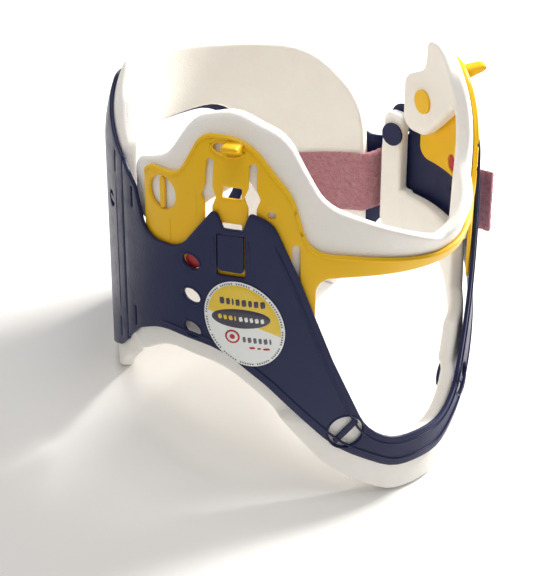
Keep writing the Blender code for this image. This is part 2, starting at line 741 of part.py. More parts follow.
def make_buttons():
    """The six pad fasteners."""
    foam_inner = -GAP - FOAM
    middle = SHEET / 2.0
    for side in (-1, 1):
        make_button(side_name("chin_button", side), side * CHIN_BUTTON[0], CHIN_BUTTON[1], BUTTON_HOLE,
                    foam_inner - POCKET, -GAP - CHIN_SHEET / 2.0, math.radians(90.0), YELLOW)
        make_button(side_name("chest_button", side), side * CHEST_BUTTON[0], CHEST_BUTTON[1], BUTTON_HOLE,
                    foam_inner, middle, side * math.radians(-45.0), NAVY)
    make_button("side_button_left", *SIDE_BUTTON_LEFT, SIDE_BUTTON_HOLE, foam_inner, middle, 0.0, NAVY)
    right = make_button("side_button_right", *SIDE_BUTTON_RIGHT, SIDE_BUTTON_HOLE, foam_inner, middle, 0.0, NAVY)
    set_origin(right, hinge_point())


# ---------------------------------------------------------------- strap, tape and label

def strap_depth(s, h):
    """Inner face of the strap: over the back pad, then out between pad and shell and over the hook tape."""
    over_foam = -2.0 * GAP - FOAM - STRAP
    over_patch = SHEET + PATCH + 2.0 * GAP
    first, last = STRAP_CROSSING
    return over_foam + (over_patch - over_foam) * min(1.0, max(0.0, (first - s) / (first - last)))


def strap_rise(s):
    """The strap climbs a little towards its free end."""
    return STRAP_RISE * (STRAP_LEVEL - s)


def make_strap_root():
    """Sewn end of the strap, inside the back pad and out under the tail."""
    hold = STRAP_HINGE + GAP / 2.0
    outline = [Vector((hold, STRAP_FOOT + strap_rise(hold))),
               Vector((STRAP_START, STRAP_FOOT + strap_rise(STRAP_START))),
               Vector((STRAP_START, STRAP_TOP + strap_rise(STRAP_START))),
               Vector((hold, STRAP_TOP + strap_rise(hold)))]
    strap = plate("strap_root", [outline], strap_depth, lambda s, h: strap_depth(s, h) + STRAP, PINK, 0.95,
                  columns=STRAP_CROSSING)
    set_origin(strap, hinge_point())


def make_closure_strap():
    """Free end of the strap: it lies on the hook tape, then runs straight off the curved side."""
    inner = SHEET + PATCH + 2.0 * GAP
    hold = STRAP_HINGE - GAP / 2.0
    bm = bmesh.new()
    stations = []
    for s in np.linspace(hold, STRAP_LEAVE, 3):
        foot = STRAP_FOOT + strap_rise(s)
        top = STRAP_TOP + strap_rise(s)
        section = ((foot, inner), (top, inner), (top, inner + STRAP), (foot, inner + STRAP))
        stations.append([wrap(s, h, t) for h, t in section])
    along = -ring_tangent(STRAP_LEAVE)
    turn = Matrix.Rotation(STRAP_SPLAY, 2)
    course = turn @ along
    step = stand(course.x, course.y, STRAP_RISE) - stand(0.0, 0.0, 0.0)
    stations.append([corner + step * STRAP_FREE for corner in stations[-1]])
    rows = [[bm.verts.new(corner) for corner in station] for station in stations]
    bm.faces.new(rows[0])
    bm.faces.new(list(reversed(rows[-1])))
    for near, far in zip(rows, rows[1:]):
        for i in range(4):
            j = (i + 1) % 4
            bm.faces.new((near[j], near[i], far[i], far[j]))
    strap = add_object("closure_strap", mesh_from(bm, "closure_strap"), PINK, 0.95)
    set_origin(strap, wrap(STRAP_HINGE, CHIN_START, inner + STRAP))


def make_hook_patch():
    """Hook tape on the left side that the strap presses onto."""
    outline = box_outline(PATCH_START, PATCH_END, STRAP_FOOT, STRAP_TOP, 3.0)
    plate("hook_patch", [outline], SHEET + GAP, SHEET + GAP + PATCH, BLACK, 0.95)


def make_label():
    """Egg-shaped label on the right side."""
    s, h, wide, tall = LABEL
    outline = ellipse(s, h, wide, tall, 0.0, LABEL_SIDES)
    plate("label", [outline], SHEET + GAP, SHEET + GAP + LABEL_DEPTH, WHITE, 0.4)


def stand_on_origin():
    """Put the middle of the collar's base over the world origin."""
    bpy.context.view_layer.update()
    corners = [piece.matrix_world @ vertex.co for piece in bpy.data.objects for vertex in piece.data.vertices]
    middle_x = (min(corner.x for corner in corners) + max(corner.x for corner in corners)) / 2.0
    middle_y = (min(corner.y for corner in corners) + max(corner.y for corner in corners)) / 2.0
    for piece in bpy.data.objects:
        piece.location -= Vector((middle_x, middle_y, 0.0))


def main():
    """Clear the scene and build every sub-part."""
    for old in list(bpy.data.objects):
        bpy.data.objects.remove(old)
    make_front_shell()
    make_chin_piece()
    make_chin_foam()
    make_yoke_foam()
    make_back_panel()
    make_back_foam()
    make_buttons()
    for side in (-1, 1):
        make_lock_tab(side)
        make_hook(side)
        make_size_mark(side)
        for index in range(len(GUIDE_PINS)):
            make_guide_pin(side, index)
    make_strap_root()
    make_closure_strap()
    make_hook_patch()
    make_label()
    stand_on_origin()


main()
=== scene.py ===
"""Finished look of an adjustable child's cervical collar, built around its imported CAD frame.

The collar's sheet, pads and chin piece are drawn flat on one pattern and wrapped round the neck ring:
    s  length along the ring, 0 at the front centre line, positive towards the wearer's left (+X)
    h  height along the ring's axis
    t  distance outwards from the inside face of the body sheet
Pattern lengths are millimetres and everything in the scene is metres.
"""

import json
import logging
import math
from dataclasses import dataclass, field
from enum import Enum
from typing import Any, Callable, Iterable, Sequence

import bpy
import numpy as np
from mathutils import Matrix, Vector
from mathutils.geometry import delaunay_2d_cdt

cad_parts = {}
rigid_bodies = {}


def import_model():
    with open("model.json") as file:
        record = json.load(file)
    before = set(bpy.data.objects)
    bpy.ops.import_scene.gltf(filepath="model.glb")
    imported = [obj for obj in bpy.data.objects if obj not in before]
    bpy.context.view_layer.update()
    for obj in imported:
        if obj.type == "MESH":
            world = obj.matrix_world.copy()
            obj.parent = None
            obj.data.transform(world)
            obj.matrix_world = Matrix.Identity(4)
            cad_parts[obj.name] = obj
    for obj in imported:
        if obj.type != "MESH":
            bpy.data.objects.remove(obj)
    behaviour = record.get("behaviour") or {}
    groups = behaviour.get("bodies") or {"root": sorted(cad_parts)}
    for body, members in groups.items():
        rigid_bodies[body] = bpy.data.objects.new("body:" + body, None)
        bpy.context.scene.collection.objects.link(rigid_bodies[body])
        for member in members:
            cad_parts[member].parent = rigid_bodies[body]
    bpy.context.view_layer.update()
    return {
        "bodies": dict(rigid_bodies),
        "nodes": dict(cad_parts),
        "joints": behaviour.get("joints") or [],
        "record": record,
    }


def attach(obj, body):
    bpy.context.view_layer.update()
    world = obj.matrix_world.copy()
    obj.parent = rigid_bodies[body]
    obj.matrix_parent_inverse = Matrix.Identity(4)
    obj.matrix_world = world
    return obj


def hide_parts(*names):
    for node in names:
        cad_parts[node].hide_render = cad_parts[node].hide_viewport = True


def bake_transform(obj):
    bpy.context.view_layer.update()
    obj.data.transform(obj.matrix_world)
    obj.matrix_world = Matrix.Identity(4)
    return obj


LOG = logging.getLogger("collar")
MM = 0.001

# Sheets, pads and the clearance between neighbouring pieces
GAP = 0.3
SHEET_THICK = 1.6
CHIN_THICK = 1.6
FOAM_THICK = 6.35
SHEET_EDGE = 0.55
SHEET_EDGE_STEPS = 3

# Height setting of the chin piece
STEP = 15.0
STEPS = 2
TRAVEL = STEP * STEPS
GUIDE_PINS = ((89.5, 66.0), (71.5, 66.0), (54.5, 34.0))
LADDER_S = 79.7
CATCH_HEIGHT = 55.5
WINDOW_S = 96.5
WINDOW_TOP = 54.0

# Fold at the rear right corner and the sheet's free end
HINGE_S = -136.0
SLIT_FROM_FOLD = 7.5
SHELL_REAR = 141.5

# Fasteners
BUTTON_HOLE = 14.0
CHIN_BUTTON = (111.5, 79.0)
CHEST_BUTTON = (34.0, -18.0)
SIDE_BUTTON_LEFT = (134.0, 57.0)
SIDE_BUTTON_RIGHT = (-150.0, 62.0)
SIDE_BUTTON_HOLE = 7.0

# Mesh fineness
SHORTEST_REACH = 0.15
MOST_OF_EDGE = 0.49
CROWDED = 0.05
GRID_CLEARANCE = 0.55
BEAD_SIDES = 8

Corner = tuple[float, float, float]
Depth = Callable[[np.ndarray, np.ndarray], np.ndarray]


class Side(Enum):
    """The wearer's two sides, by the sign of s."""

    RIGHT = -1
    LEFT = 1

    def named(self, base: str) -> str:
        """Name of this side's copy of a paired piece."""
        return f"{base}_{self.name.lower()}"


class Body(Enum):
    """The frame's bodies that whole pieces ride on."""

    FRONT = "front"
    CHIN = "chin"
    BACK = "back"


# ---------------------------------------------------------------- the ring and its wrap

@dataclass
class Ring:
    """The neck ring and the way that the pattern leaves it."""

    half_width: float = 77.0
    front: float = 79.0
    rear: float = 76.0
    front_power: float = 1.85
    samples: int = 3600
    tilt: float = math.radians(13.0)
    lift: float = 34.0
    lean_start: float = 80.0
    lean_span: float = 34.0
    lean_depth: float = 8.0
    chin_start: float = 42.0
    chin_slope: float = 0.5
    chin_reach: float = 46.0
    base: Vector = field(default_factory=lambda: Vector((0.0, 0.0, 0.0)))

    def __post_init__(self) -> None:
        """Work out the ring's points against length."""
        angle = np.linspace(0.0, 2.0 * math.pi, self.samples + 1)
        across = np.abs(np.sin(angle)) / self.half_width
        power = self.front_power
        ahead = (across ** power + (np.abs(np.cos(angle)) / self.front) ** power) ** (-1.0 / power)
        behind = (across ** 2 + (np.abs(np.cos(angle)) / self.rear) ** 2) ** -0.5
        radius = np.where(np.cos(angle) > 0.0, ahead, behind)
        self.x = radius * np.sin(angle)
        self.y = -radius * np.cos(angle)
        self.run = np.concatenate([[0.0], np.cumsum(np.hypot(np.diff(self.x), np.diff(self.y)))])
        self.length = float(self.run[-1])

    def plan(self, s: np.ndarray) -> tuple[np.ndarray, np.ndarray]:
        """Plan position of the ring at lengths s."""
        along = np.mod(s, self.length)
        return np.interp(along, self.run, self.x), np.interp(along, self.run, self.y)

    def tangent(self, s: np.ndarray) -> tuple[np.ndarray, np.ndarray]:
        """Unit direction of growing s in plan."""
        x0, y0 = self.plan(s - 0.5)
        x1, y1 = self.plan(s + 0.5)
        size = np.hypot(x1 - x0, y1 - y0)
        return (x1 - x0) / size, (y1 - y0) / size

    def drift(self, s: np.ndarray, h: np.ndarray) -> np.ndarray:
        """How far the pattern stands outwards of the upright ring."""
        lean = self.lean_depth * (np.maximum(0.0, h - self.lean_start) / self.lean_span) ** 2
        near_front = np.abs(np.mod(s + self.length / 2.0, self.length) - self.length / 2.0)
        reach = 0.5 + 0.5 * np.cos(math.pi * np.minimum(1.0, near_front / self.chin_reach))
        return self.chin_slope * np.maximum(0.0, h - self.chin_start) * reach - lean

    def stand(self, x: np.ndarray, y: np.ndarray, h: np.ndarray) -> np.ndarray:
        """Upright ring coordinates to the standing collar, in metres."""
        rise, run = math.sin(self.tilt), math.cos(self.tilt)
        points = np.stack([x, y * run + h * rise, h * run - y * rise + self.lift], axis=-1) * MM
        return points + np.array(self.base)

    def wrap(self, s: np.ndarray, h: np.ndarray, t: np.ndarray) -> np.ndarray:
        """Pattern points to their places in the scene.

        Args:
            s: lengths along the ring.
            h: heights on the pattern.
            t: distances outwards.

        Returns:
            One row of x, y, z for each point, never below the table.
        """
        x, y = self.plan(s)
        along_x, along_y = self.tangent(s)
        out = t + self.drift(s, h)
        points = self.stand(x + along_y * out, y - along_x * out, h)
        points[..., 2] = np.maximum(points[..., 2], 0.0)
        return points

    def at(self, s: float, h: float, t: float) -> Vector:
        """One pattern point's place in the scene."""
        return Vector(self.wrap(np.array([s]), np.array([h]), np.array([t]))[0])

    def direction(self, x: float, y: float, h: float) -> Vector:
        """A direction of the upright ring, on the standing collar."""
        end = self.stand(np.array(x), np.array(y), np.array(h))
        start = self.stand(np.array(0.0), np.array(0.0), np.array(0.0))
        return Vector(end - start).normalized()

    def frame(self, s: float, h: float, t: float = 0.0) -> Matrix:
        """Local axes on the pattern: x along s, y up the surface, z outwards; lengths in millimetres."""
        along_x, along_y = self.tangent(np.array(s))
        x_axis = self.direction(float(along_x), float(along_y), 0.0)
        y_axis = (self.at(s, h + 1.0, t) - self.at(s, h - 1.0, t)).normalized()
        z_axis = x_axis.cross(y_axis).normalized()
        turn = Matrix((x_axis, z_axis.cross(x_axis), z_axis)).transposed().to_4x4()
        return Matrix.Translation(self.at(s, h, t)) @ turn @ Matrix.Scale(MM, 4)

    def floor_height(self, s: float, above: float) -> float:
        """Pattern height at length s that stands this far above the table."""
        y = float(self.plan(np.array(s))[1])
        return (above - self.lift + y * math.sin(self.tilt)) / math.cos(self.tilt)


RING = Ring()


# ---------------------------------------------------------------- flat outlines

def rounded(corners: Sequence[Corner], arc_step: float = math.radians(9.0)) -> np.ndarray:
    """Closed outline through corners, each turned with its own radius.

    Args:
        corners: (s, h, radius) of each corner in order.
        arc_step: angle between the points of an arc.

    Returns:
        The outline's points, one row each.
    """
    outline: list[Vector] = []
    count = len(corners)
    for index, (s, h, radius) in enumerate(corners):
        here = Vector((s, h))
        before = Vector(corners[index - 1][:2]) - here
        after = Vector(corners[(index + 1) % count][:2]) - here
        turn = before.angle(after)
        reach = radius / math.tan(turn / 2.0) if radius else 0.0
        reach = min(reach, MOST_OF_EDGE * before.length, MOST_OF_EDGE * after.length)
        if reach < SHORTEST_REACH:
            outline.append(here)
            continue
        middle = (before.normalized() + after.normalized()).normalized()
        centre = here + middle * (reach / math.cos(turn / 2.0))
        first = here + before.normalized() * reach - centre
        sweep = first.angle_signed(here + after.normalized() * reach - centre)
        steps = max(2, round((math.pi - turn) / arc_step))
        for step in range(steps + 1):
            outline.append(centre + Matrix.Rotation(-sweep * step / steps, 2) @ first)
    return np.array(outline)


def ellipse(s: float, h: float, wide: float, tall: float, tilt: float = 0.0, sides: int = 40) -> np.ndarray:
    """Ellipse about (s, h) with its two diameters, turned by tilt."""
    angle = np.linspace(0.0, 2.0 * math.pi, sides, endpoint=False)
    x, y = np.cos(angle) * wide / 2.0, np.sin(angle) * tall / 2.0
    run, rise = math.cos(tilt), math.sin(tilt)
    return np.stack([s + x * run - y * rise, h + x * rise + y * run], axis=-1)


def block(s_low: float, s_high: float, h_low: float, h_high: float, radius: float = 0.0) -> np.ndarray:
    """Rounded rectangle on the pattern."""
    corners = ((s_low, h_low), (s_high, h_low), (s_high, h_high), (s_low, h_high))
    return rounded([(s, h, radius) for s, h in corners])


def upright(s: float, low: float, high: float, count: int) -> np.ndarray:
    """Points of a line up the pattern at length s."""
    return np.stack([np.full(count, s), np.linspace(low, high, count)], axis=-1)


def on_right(corners: Iterable[Corner]) -> list[Corner]:
    """Left-side corners moved to the right side, in the same order."""
    return [(-s, h, radius) for s, h, radius in corners]


def counterclockwise(loop: np.ndarray) -> bool:
    """Whether a loop runs counterclockwise on the pattern."""
    x, y = loop[:, 0], loop[:, 1]
    return float(np.sum(x * np.roll(y, -1) - y * np.roll(x, -1))) > 0.0


def resampled(loop: np.ndarray, step: float) -> np.ndarray:
    """The loop with its long edges divided and its crowded points dropped."""
    points: list[np.ndarray] = []
    for here, there in zip(loop, np.roll(loop, -1, axis=0)):
        span = float(np.hypot(*(there - here)))
        if span < CROWDED:
            continue
        parts = max(1, math.ceil(span / step))
        points += [here + (there - here) * part / parts for part in range(parts)]
    return np.array(points)


def unit(rows: np.ndarray) -> np.ndarray:
    """Each row scaled to length 1."""
    return rows / np.maximum(np.hypot(rows[:, 0], rows[:, 1]), 1e-9)[:, None]


def inset(loop: np.ndarray, distance: float) -> np.ndarray:
    """The loop moved to its left by a distance."""
    ahead = unit(np.roll(loop, -1, axis=0) - loop)
    behind = unit(loop - np.roll(loop, 1, axis=0))
    course = unit(ahead + behind)
    return loop + np.stack([-course[:, 1], course[:, 0]], axis=-1) * distance


def inside(points: np.ndarray, loops: Sequence[np.ndarray]) -> np.ndarray:
    """Even-odd test of many points against an outline and its holes."""
    hit = np.zeros(len(points), dtype=bool)
    for loop in loops:
        for here, there in zip(loop, np.roll(loop, -1, axis=0)):
            if here[1] == there[1]:
                continue
            spans = (here[1] > points[:, 1]) != (there[1] > points[:, 1])
            cross = (there[0] - here[0]) * (points[:, 1] - here[1]) / (there[1] - here[1]) + here[0]
            hit ^= spans & (points[:, 0] < cross)
    return hit


def away_from(points: np.ndarray, loops: Sequence[np.ndarray], batch: int = 512) -> np.ndarray:
    """Distance of each point from the nearest point of the loops, worked out a batch at a time."""
    rim = np.concatenate(list(loops))
    nearest = np.full(len(points), np.inf)
    for start in range(0, len(points), batch):
        part = points[start:start + batch]
        nearest[start:start + batch] = np.sqrt(((part[:, None, :] - rim[None, :, :]) ** 2).sum(-1)).min(1)
    return nearest


# ---------------------------------------------------------------- shaders

class Sock:
    """A socket or number that adds Math nodes as it is worked with."""

    def __init__(self, shader: "Shader", link: Any) -> None:
        """Keep the shader and the socket."""
        self.shader = shader
        self.link = link

    def _math(self, operation: str, first: Any, second: Any = 0.0) -> "Sock":
        """One Math node."""
        return self.shader.node("ShaderNodeMath", {"operation": operation}, {0: first, 1: second})

    def __add__(self, other: Any) -> "Sock":
        """Sum."""
        return self._math("ADD", self, other)

    __radd__ = __add__

    def __mul__(self, other: Any) -> "Sock":
        """Product."""
        return self._math("MULTIPLY", self, other)

    __rmul__ = __mul__


class Shader:
    """A Principled material under construction."""

    def __init__(self, name: str, **constants: Any) -> None:
        """Start a material.

        Args:
            name: the material's name.
            constants: Principled sockets that are the same all over, with spaces as underscores.
        """
        self.material = bpy.data.materials.new(name)
        self.material.use_nodes = True
        self.tree = self.material.node_tree
        self.principled = self.tree.nodes["Principled BSDF"]
        for key, value in constants.items():
            self.principled.inputs[key.replace("_", " ")].default_value = value

    def node(self, kind: str, settings: dict[str, Any] | None = None, sockets: dict[Any, Any] | None = None,
             output: Any = 0) -> Sock:
        """Add a node.

        Args:
            kind: Blender's node type.
            settings: node properties, set before the sockets.
            sockets: values or links for inputs, by name or index.
            output: which output to return.

        Returns:
            The chosen output.
        """
        made = self.tree.nodes.new(kind)
        for key, value in (settings or {}).items():
            setattr(made, key, value)
        for key, value in (sockets or {}).items():
            self.join(value, made.inputs[key])
        return Sock(self, made.outputs[output])

    def join(self, value: Any, socket: Any) -> None:
        """Link a Sock to a socket, or set its value."""
        if isinstance(value, Sock):
            self.tree.links.new(value.link, socket)
        else:
            socket.default_value = value

    def feed(self, name: str, value: Sock) -> None:
        """Link something that varies to the Principled shader."""
        self.join(value, self.principled.inputs[name])

    def place(self) -> Sock:
        """Object coordinates."""
        return self.node("ShaderNodeTexCoord", output="Object")

    def noise(self, scale: float, detail: float = 3.0, roughness: float = 0.5) -> Sock:
        """Noise value at a scale in repeats a metre."""
        sockets = {"Vector": self.place(), "Scale": scale, "Detail": detail, "Roughness": roughness}
        return self.node("ShaderNodeTexNoise", {}, sockets)

    def cells(self, scale: float) -> Sock:
        """Distance to the nearest Voronoi point."""
        return self.node("ShaderNodeTexVoronoi", {}, {"Vector": self.place(), "Scale": scale})

    def blend(self, factor: Any, first: Any, second: Any) -> Sock:
        """Mix two colours."""
        return self.node("ShaderNodeMix", {"data_type": "RGBA"}, {0: factor, 6: first, 7: second}, output=2)

    def ramp(self, value: Sock, low: float, high: float) -> Sock:
        """Value stretched so that low becomes 0 and high becomes 1."""
        return self.node("ShaderNodeMapRange", {}, {"Value": value, "From Min": low, "From Max": high})

    def bump(self, height: Sock, strength: float, distance: float) -> None:
        """Feed a height to the surface normal, distance in metres."""
        sockets = {"Strength": strength, "Distance": distance, "Height": height}
        self.feed("Normal", self.node("ShaderNodeBump", {}, sockets))


def rgba(colour: Sequence[float]) -> tuple[float, float, float, float]:
    """A colour with full alpha."""
    return (colour[0], colour[1], colour[2], 1.0)


@dataclass(frozen=True)
class Moulding:
    """Moulded polyethylene: satin, slightly waxy, with a fine grain and soft flow variation."""

    name: str
    colour: tuple[float, float, float]
    pale: tuple[float, float, float]
    roughness: float
    waxiness: float
    cloud_scale: float = 28.0
    scuff_scale: float = 160.0
    grain_scale: float = 900.0
    ripple_scale: float = 120.0

    def material(self) -> bpy.types.Material:
        """Build the material."""
        shader = Shader(self.name, Subsurface_Weight=self.waxiness, Subsurface_Scale=0.002, IOR=1.45,
                        Specular_IOR_Level=0.32)
        cloud = shader.ramp(shader.noise(self.cloud_scale, 4.0), 0.35, 0.75)
        shader.feed("Base Color", shader.blend(cloud * 0.5, rgba(self.colour), rgba(self.pale)))
        scuff = shader.ramp(shader.noise(self.scuff_scale, 5.0, 0.7), 0.45, 0.8)
        shader.feed("Roughness", scuff * 0.16 + self.roughness)
        grain, ripple = shader.noise(self.grain_scale, 2.0), shader.noise(self.ripple_scale, 2.0)
        shader.bump(grain + ripple * 0.8, 0.18, 0.0004)
        return shader.material


@dataclass(frozen=True)
class ClosedCellFoam:
    """Skinned closed-cell foam: matt, with fine pores and a soft mottle."""

    name: str
    colour: tuple[float, float, float] = (0.90, 0.885, 0.845)
    shade: tuple[float, float, float] = (0.85, 0.825, 0.775)
    mottle_scale: float = 45.0
    skin_scale: float = 300.0
    pore_scale: float = 1500.0
    orange_peel_scale: float = 380.0
    dent_scale: float = 60.0

    def material(self) -> bpy.types.Material:
        """Build the material."""
        shader = Shader(self.name, Subsurface_Weight=0.12, Subsurface_Scale=0.003, Sheen_Weight=0.12,
                        Specular_IOR_Level=0.3)
        mottle = shader.ramp(shader.noise(self.mottle_scale, 5.0, 0.6), 0.35, 0.75)
        shader.feed("Base Color", shader.blend(mottle * 0.5, rgba(self.colour), rgba(self.shade)))
        shader.feed("Roughness", shader.noise(self.skin_scale) * 0.2 + 0.68)
        pores = shader.ramp(shader.cells(self.pore_scale), 0.0, 0.6)
        peel = shader.noise(self.orange_peel_scale, 4.0)
        dents = shader.noise(self.dent_scale, 2.0)
        shader.bump(pores * 0.7 + peel * 0.9 + dents * 1.5, 0.3, 0.00045)
        return shader.material


@dataclass(frozen=True)
class LoopPile:
    """Brushed loop fastener: a dense fuzzy pile on a woven ground."""

    name: str
    colour: tuple[float, float, float] = (0.74, 0.19, 0.27)
    # tips: the lighter pink painted on the raised pile as a highlight
    tips: tuple[float, float, float] = (0.92, 0.42, 0.50)
    pile_scale: float = 1500.0
    tuft_scale: float = 420.0

    def material(self) -> bpy.types.Material:
        """Build the material."""
        shader = Shader(self.name, Sheen_Weight=0.6, Sheen_Roughness=0.45, Specular_IOR_Level=0.2)
        pile = shader.noise(self.pile_scale, 6.0, 0.75)
        tufts = shader.ramp(shader.noise(self.tuft_scale, 4.0, 0.7), 0.38, 0.68)
        fleck = shader.ramp(pile, 0.42, 0.66)
        # Painted highlight: the pile is lighter where its tufts and loops stand highest, from the same
        # noises that raise the bump.
        pile_highlight = tufts * 0.55 + fleck * 0.45
        shader.feed("Base Color", shader.blend(pile_highlight, rgba(self.colour), rgba(self.tips)))
        shader.feed("Roughness", fleck * 0.1 + 0.85)
        shader.bump(pile * 1.0 + tufts * 1.2, 1.0, 0.0016)
        return shader.material


@dataclass(frozen=True)
class HookTape:
    """Moulded hook tape: small black hooks close together."""

    name: str
    hook_scale: float = 900.0
    tips: tuple[float, float, float] = (0.05, 0.05, 0.055)
    ground: tuple[float, float, float] = (0.008, 0.008, 0.01)

    def material(self) -> bpy.types.Material:
        """Build the material."""
        shader = Shader(self.name, Sheen_Weight=0.1)
        hooks = shader.ramp(shader.cells(self.hook_scale), 0.1, 0.6)
        shader.feed("Base Color", shader.blend(hooks, rgba(self.tips), rgba(self.ground)))
        shader.feed("Roughness", hooks * 0.3 + 0.4)
        shader.bump(hooks, 1.0, 0.0006)
        return shader.material


@dataclass(frozen=True)
class Ink:
    """Printed laminate in one colour, with a faint press grain."""

    name: str
    colour: tuple[float, float, float]
    roughness: float = 0.32
    grain_scale: float = 700.0
    wave_scale: float = 300.0

    def material(self) -> bpy.types.Material:
        """Build the material."""
        shader = Shader(self.name, Coat_Weight=0.3, Coat_Roughness=0.15)
        grain = shader.noise(self.grain_scale, 3.0)
        pale = tuple(min(1.0, channel * 1.12 + 0.01) for channel in self.colour)
        shader.feed("Base Color", shader.blend(grain * 0.6, rgba(self.colour), rgba(pale)))
        shader.feed("Roughness", grain * 0.12 + self.roughness)
        shader.bump(shader.noise(self.wave_scale), 0.05, 0.0002)
        return shader.material


@dataclass
class Finishes:
    """Every finish of the collar, made once."""

    navy: bpy.types.Material = field(init=False)
    yellow: bpy.types.Material = field(init=False)
    foam: bpy.types.Material = field(init=False)
    pile: bpy.types.Material = field(init=False)
    hook: bpy.types.Material = field(init=False)
    red: bpy.types.Material = field(init=False)
    label_white: bpy.types.Material = field(init=False)
    label_yellow: bpy.types.Material = field(init=False)
    label_dark: bpy.types.Material = field(init=False)
    label_grey: bpy.types.Material = field(init=False)

    def __post_init__(self) -> None:
        """Make the materials."""
        self.navy = Moulding("navy_moulding", (0.011, 0.015, 0.062), (0.017, 0.023, 0.085),
                             roughness=0.36, waxiness=0.0).material()
        self.yellow = Moulding("yellow_moulding", (0.84, 0.49, 0.008), (0.88, 0.55, 0.016),
                               roughness=0.34, waxiness=0.12).material()
        self.foam = ClosedCellFoam("white_foam_skin").material()
        self.pile = LoopPile("pink_loop_pile").material()
        self.hook = HookTape("black_hook_tape").material()
        self.red = Ink("red_mark_ink", (0.45, 0.015, 0.02), 0.45).material()
        self.label_white = Ink("label_white", (0.80, 0.82, 0.81)).material()
        self.label_yellow = Ink("label_yellow", (0.76, 0.53, 0.03)).material()
        self.label_dark = Ink("label_dark", (0.03, 0.025, 0.05)).material()
        self.label_grey = Ink("label_grey", (0.12, 0.11, 0.14)).material()


# ---------------------------------------------------------------- mesh builders

def constant(value: float) -> Depth:
    """A depth that is the same all over."""
    return lambda s, h: np.full_like(s, value)


@dataclass
class Sheet:
    """A sheet or pad with rounded edges, cut from a flat outline and wrapped round the ring."""

    name: str
    outline: np.ndarray
    holes: Sequence[np.ndarray] = ()
    inner: Depth = field(default_factory=lambda: constant(0.0))
    outer: Depth = field(default_factory=lambda: constant(1.6))
    edge: float = 0.5
    edge_steps: int = 2
    spacing: float = 3.0
    rim_step: float = 2.2
    crown: float = 0.0
    crown_reach: float = 9.0
    crown_outside: float = 0.3

    def loops(self) -> list[np.ndarray]:
        """Outline and holes, finely divided, with material on their left."""
        result = []
        for index, loop in enumerate([self.outline, *self.holes]):
            turned = loop if counterclockwise(loop) == (index == 0) else loop[::-1]
            result.append(resampled(turned, self.rim_step))
        return result

    def _face(self, rims: list[np.ndarray]) -> tuple[np.ndarray, list[tuple[int, int, int]]]:
        """Points and triangles of the flat face within its rims; the rims' own points come first."""
        ring_points = np.concatenate(rims)
        low, high = ring_points.min(0), ring_points.max(0)
        columns = np.arange(math.ceil(low[0] / self.spacing), high[0] / self.spacing) * self.spacing
        rows = np.arange(math.ceil(low[1] / self.spacing), high[1] / self.spacing) * self.spacing
        grid = np.array([(s, h) for s in columns for h in rows])
        if len(grid):
            grid = grid[inside(grid, rims)]
        if len(grid):
            grid = grid[away_from(grid, rims) > GRID_CLEARANCE * self.spacing]
        points = np.concatenate([ring_points, grid]) if len(grid) else ring_points
        edges = []
        first = 0
        for rim in rims:
            edges += [(first + i, first + (i + 1) % len(rim)) for i in range(len(rim))]
            first += len(rim)
        out, _, faces, origins, _, _ = delaunay_2d_cdt([Vector(p) for p in points], edges, [], 0, 1e-6)
        source = [origin[0] if origin else -1 for origin in origins]
        flat = np.array([tuple(v) for v in out])
        triangles = np.array([tuple(face) for face in faces])
        kept = triangles[inside(flat[triangles].mean(1), rims)]
        result = []
        for a, b, c in kept:
            if min(source[a], source[b], source[c]) < 0:
                continue
            ab, ac = flat[b] - flat[a], flat[c] - flat[a]
            flip = ab[0] * ac[1] - ab[1] * ac[0] < 0.0
            result.append((source[a], source[c], source[b]) if flip else (source[a], source[b], source[c]))
        return points, result

    def build(self, material: bpy.types.Material) -> bpy.types.Object:
        """Make the mesh object.

        Args:
            material: the finish of the whole piece.

        Returns:
            The linked object, in place.
        """
        loops = self.loops()
        rims = [inset(loop, self.edge) for loop in loops]
        points, triangles = self._face(rims)
        s, h = points[:, 0], points[:, 1]
        swell = 0.0
        if self.crown:
            swell = self.crown * np.minimum(1.0, away_from(points, rims) / self.crown_reach)
        outer, inner = self.outer(s, h), self.inner(s, h)
        verts = [RING.wrap(s, h, outer + swell * self.crown_outside), RING.wrap(s, h, inner - swell)]
        count = len(points)
        faces: list[tuple[int, ...]] = [tuple(t) for t in triangles]
        faces += [(c + count, b + count, a + count) for a, b, c in triangles]
        total = 2 * count
        first = 0
        for loop, rim in zip(loops, rims):
            size = len(loop)
            levels = [list(range(first, first + size))]
            for share, from_outer in self._profile():
                ring = loop + (rim - loop) * share
                rs, rh = ring[:, 0], ring[:, 1]
                top, bottom = self.outer(rs, rh), self.inner(rs, rh)
                face = top if from_outer >= 0.0 else bottom
                verts.append(RING.wrap(rs, rh, face - self.edge * from_outer))
                levels.append(list(range(total, total + size)))
                total += size
            levels.append(list(range(first + count, first + count + size)))
            for above, below in zip(levels, levels[1:]):
                for here in range(size):
                    there = (here + 1) % size
                    faces.append((above[there], above[here], below[here], below[there]))
            first += size
        return finished_mesh(self.name, np.concatenate(verts), faces, material)

    def _profile(self) -> list[tuple[float, float]]:
        """Rings of the rounded edge: share of the inset and depth in edge radii, negative from inside."""
        rings = []
        for step in range(1, self.edge_steps + 1):
            angle = math.pi / 2.0 * step / self.edge_steps
            rings.append((1.0 - math.sin(angle), 1.0 - math.cos(angle)))
        back = [(share, -depth) for share, depth in reversed(rings)]
        return rings + back


def finished_mesh(name: str, verts: np.ndarray, faces: Sequence[Sequence[int]],
                  material: bpy.types.Material) -> bpy.types.Object:
    """Link a smooth-shaded mesh object."""
    mesh = bpy.data.meshes.new(name)
    mesh.from_pydata([tuple(v) for v in verts], [], [tuple(int(i) for i in face) for face in faces])
    mesh.materials.append(material)
    mesh.validate()
    mesh.shade_smooth()
    piece = bpy.data.objects.new(name, mesh)
    bpy.context.collection.objects.link(piece)
    return piece


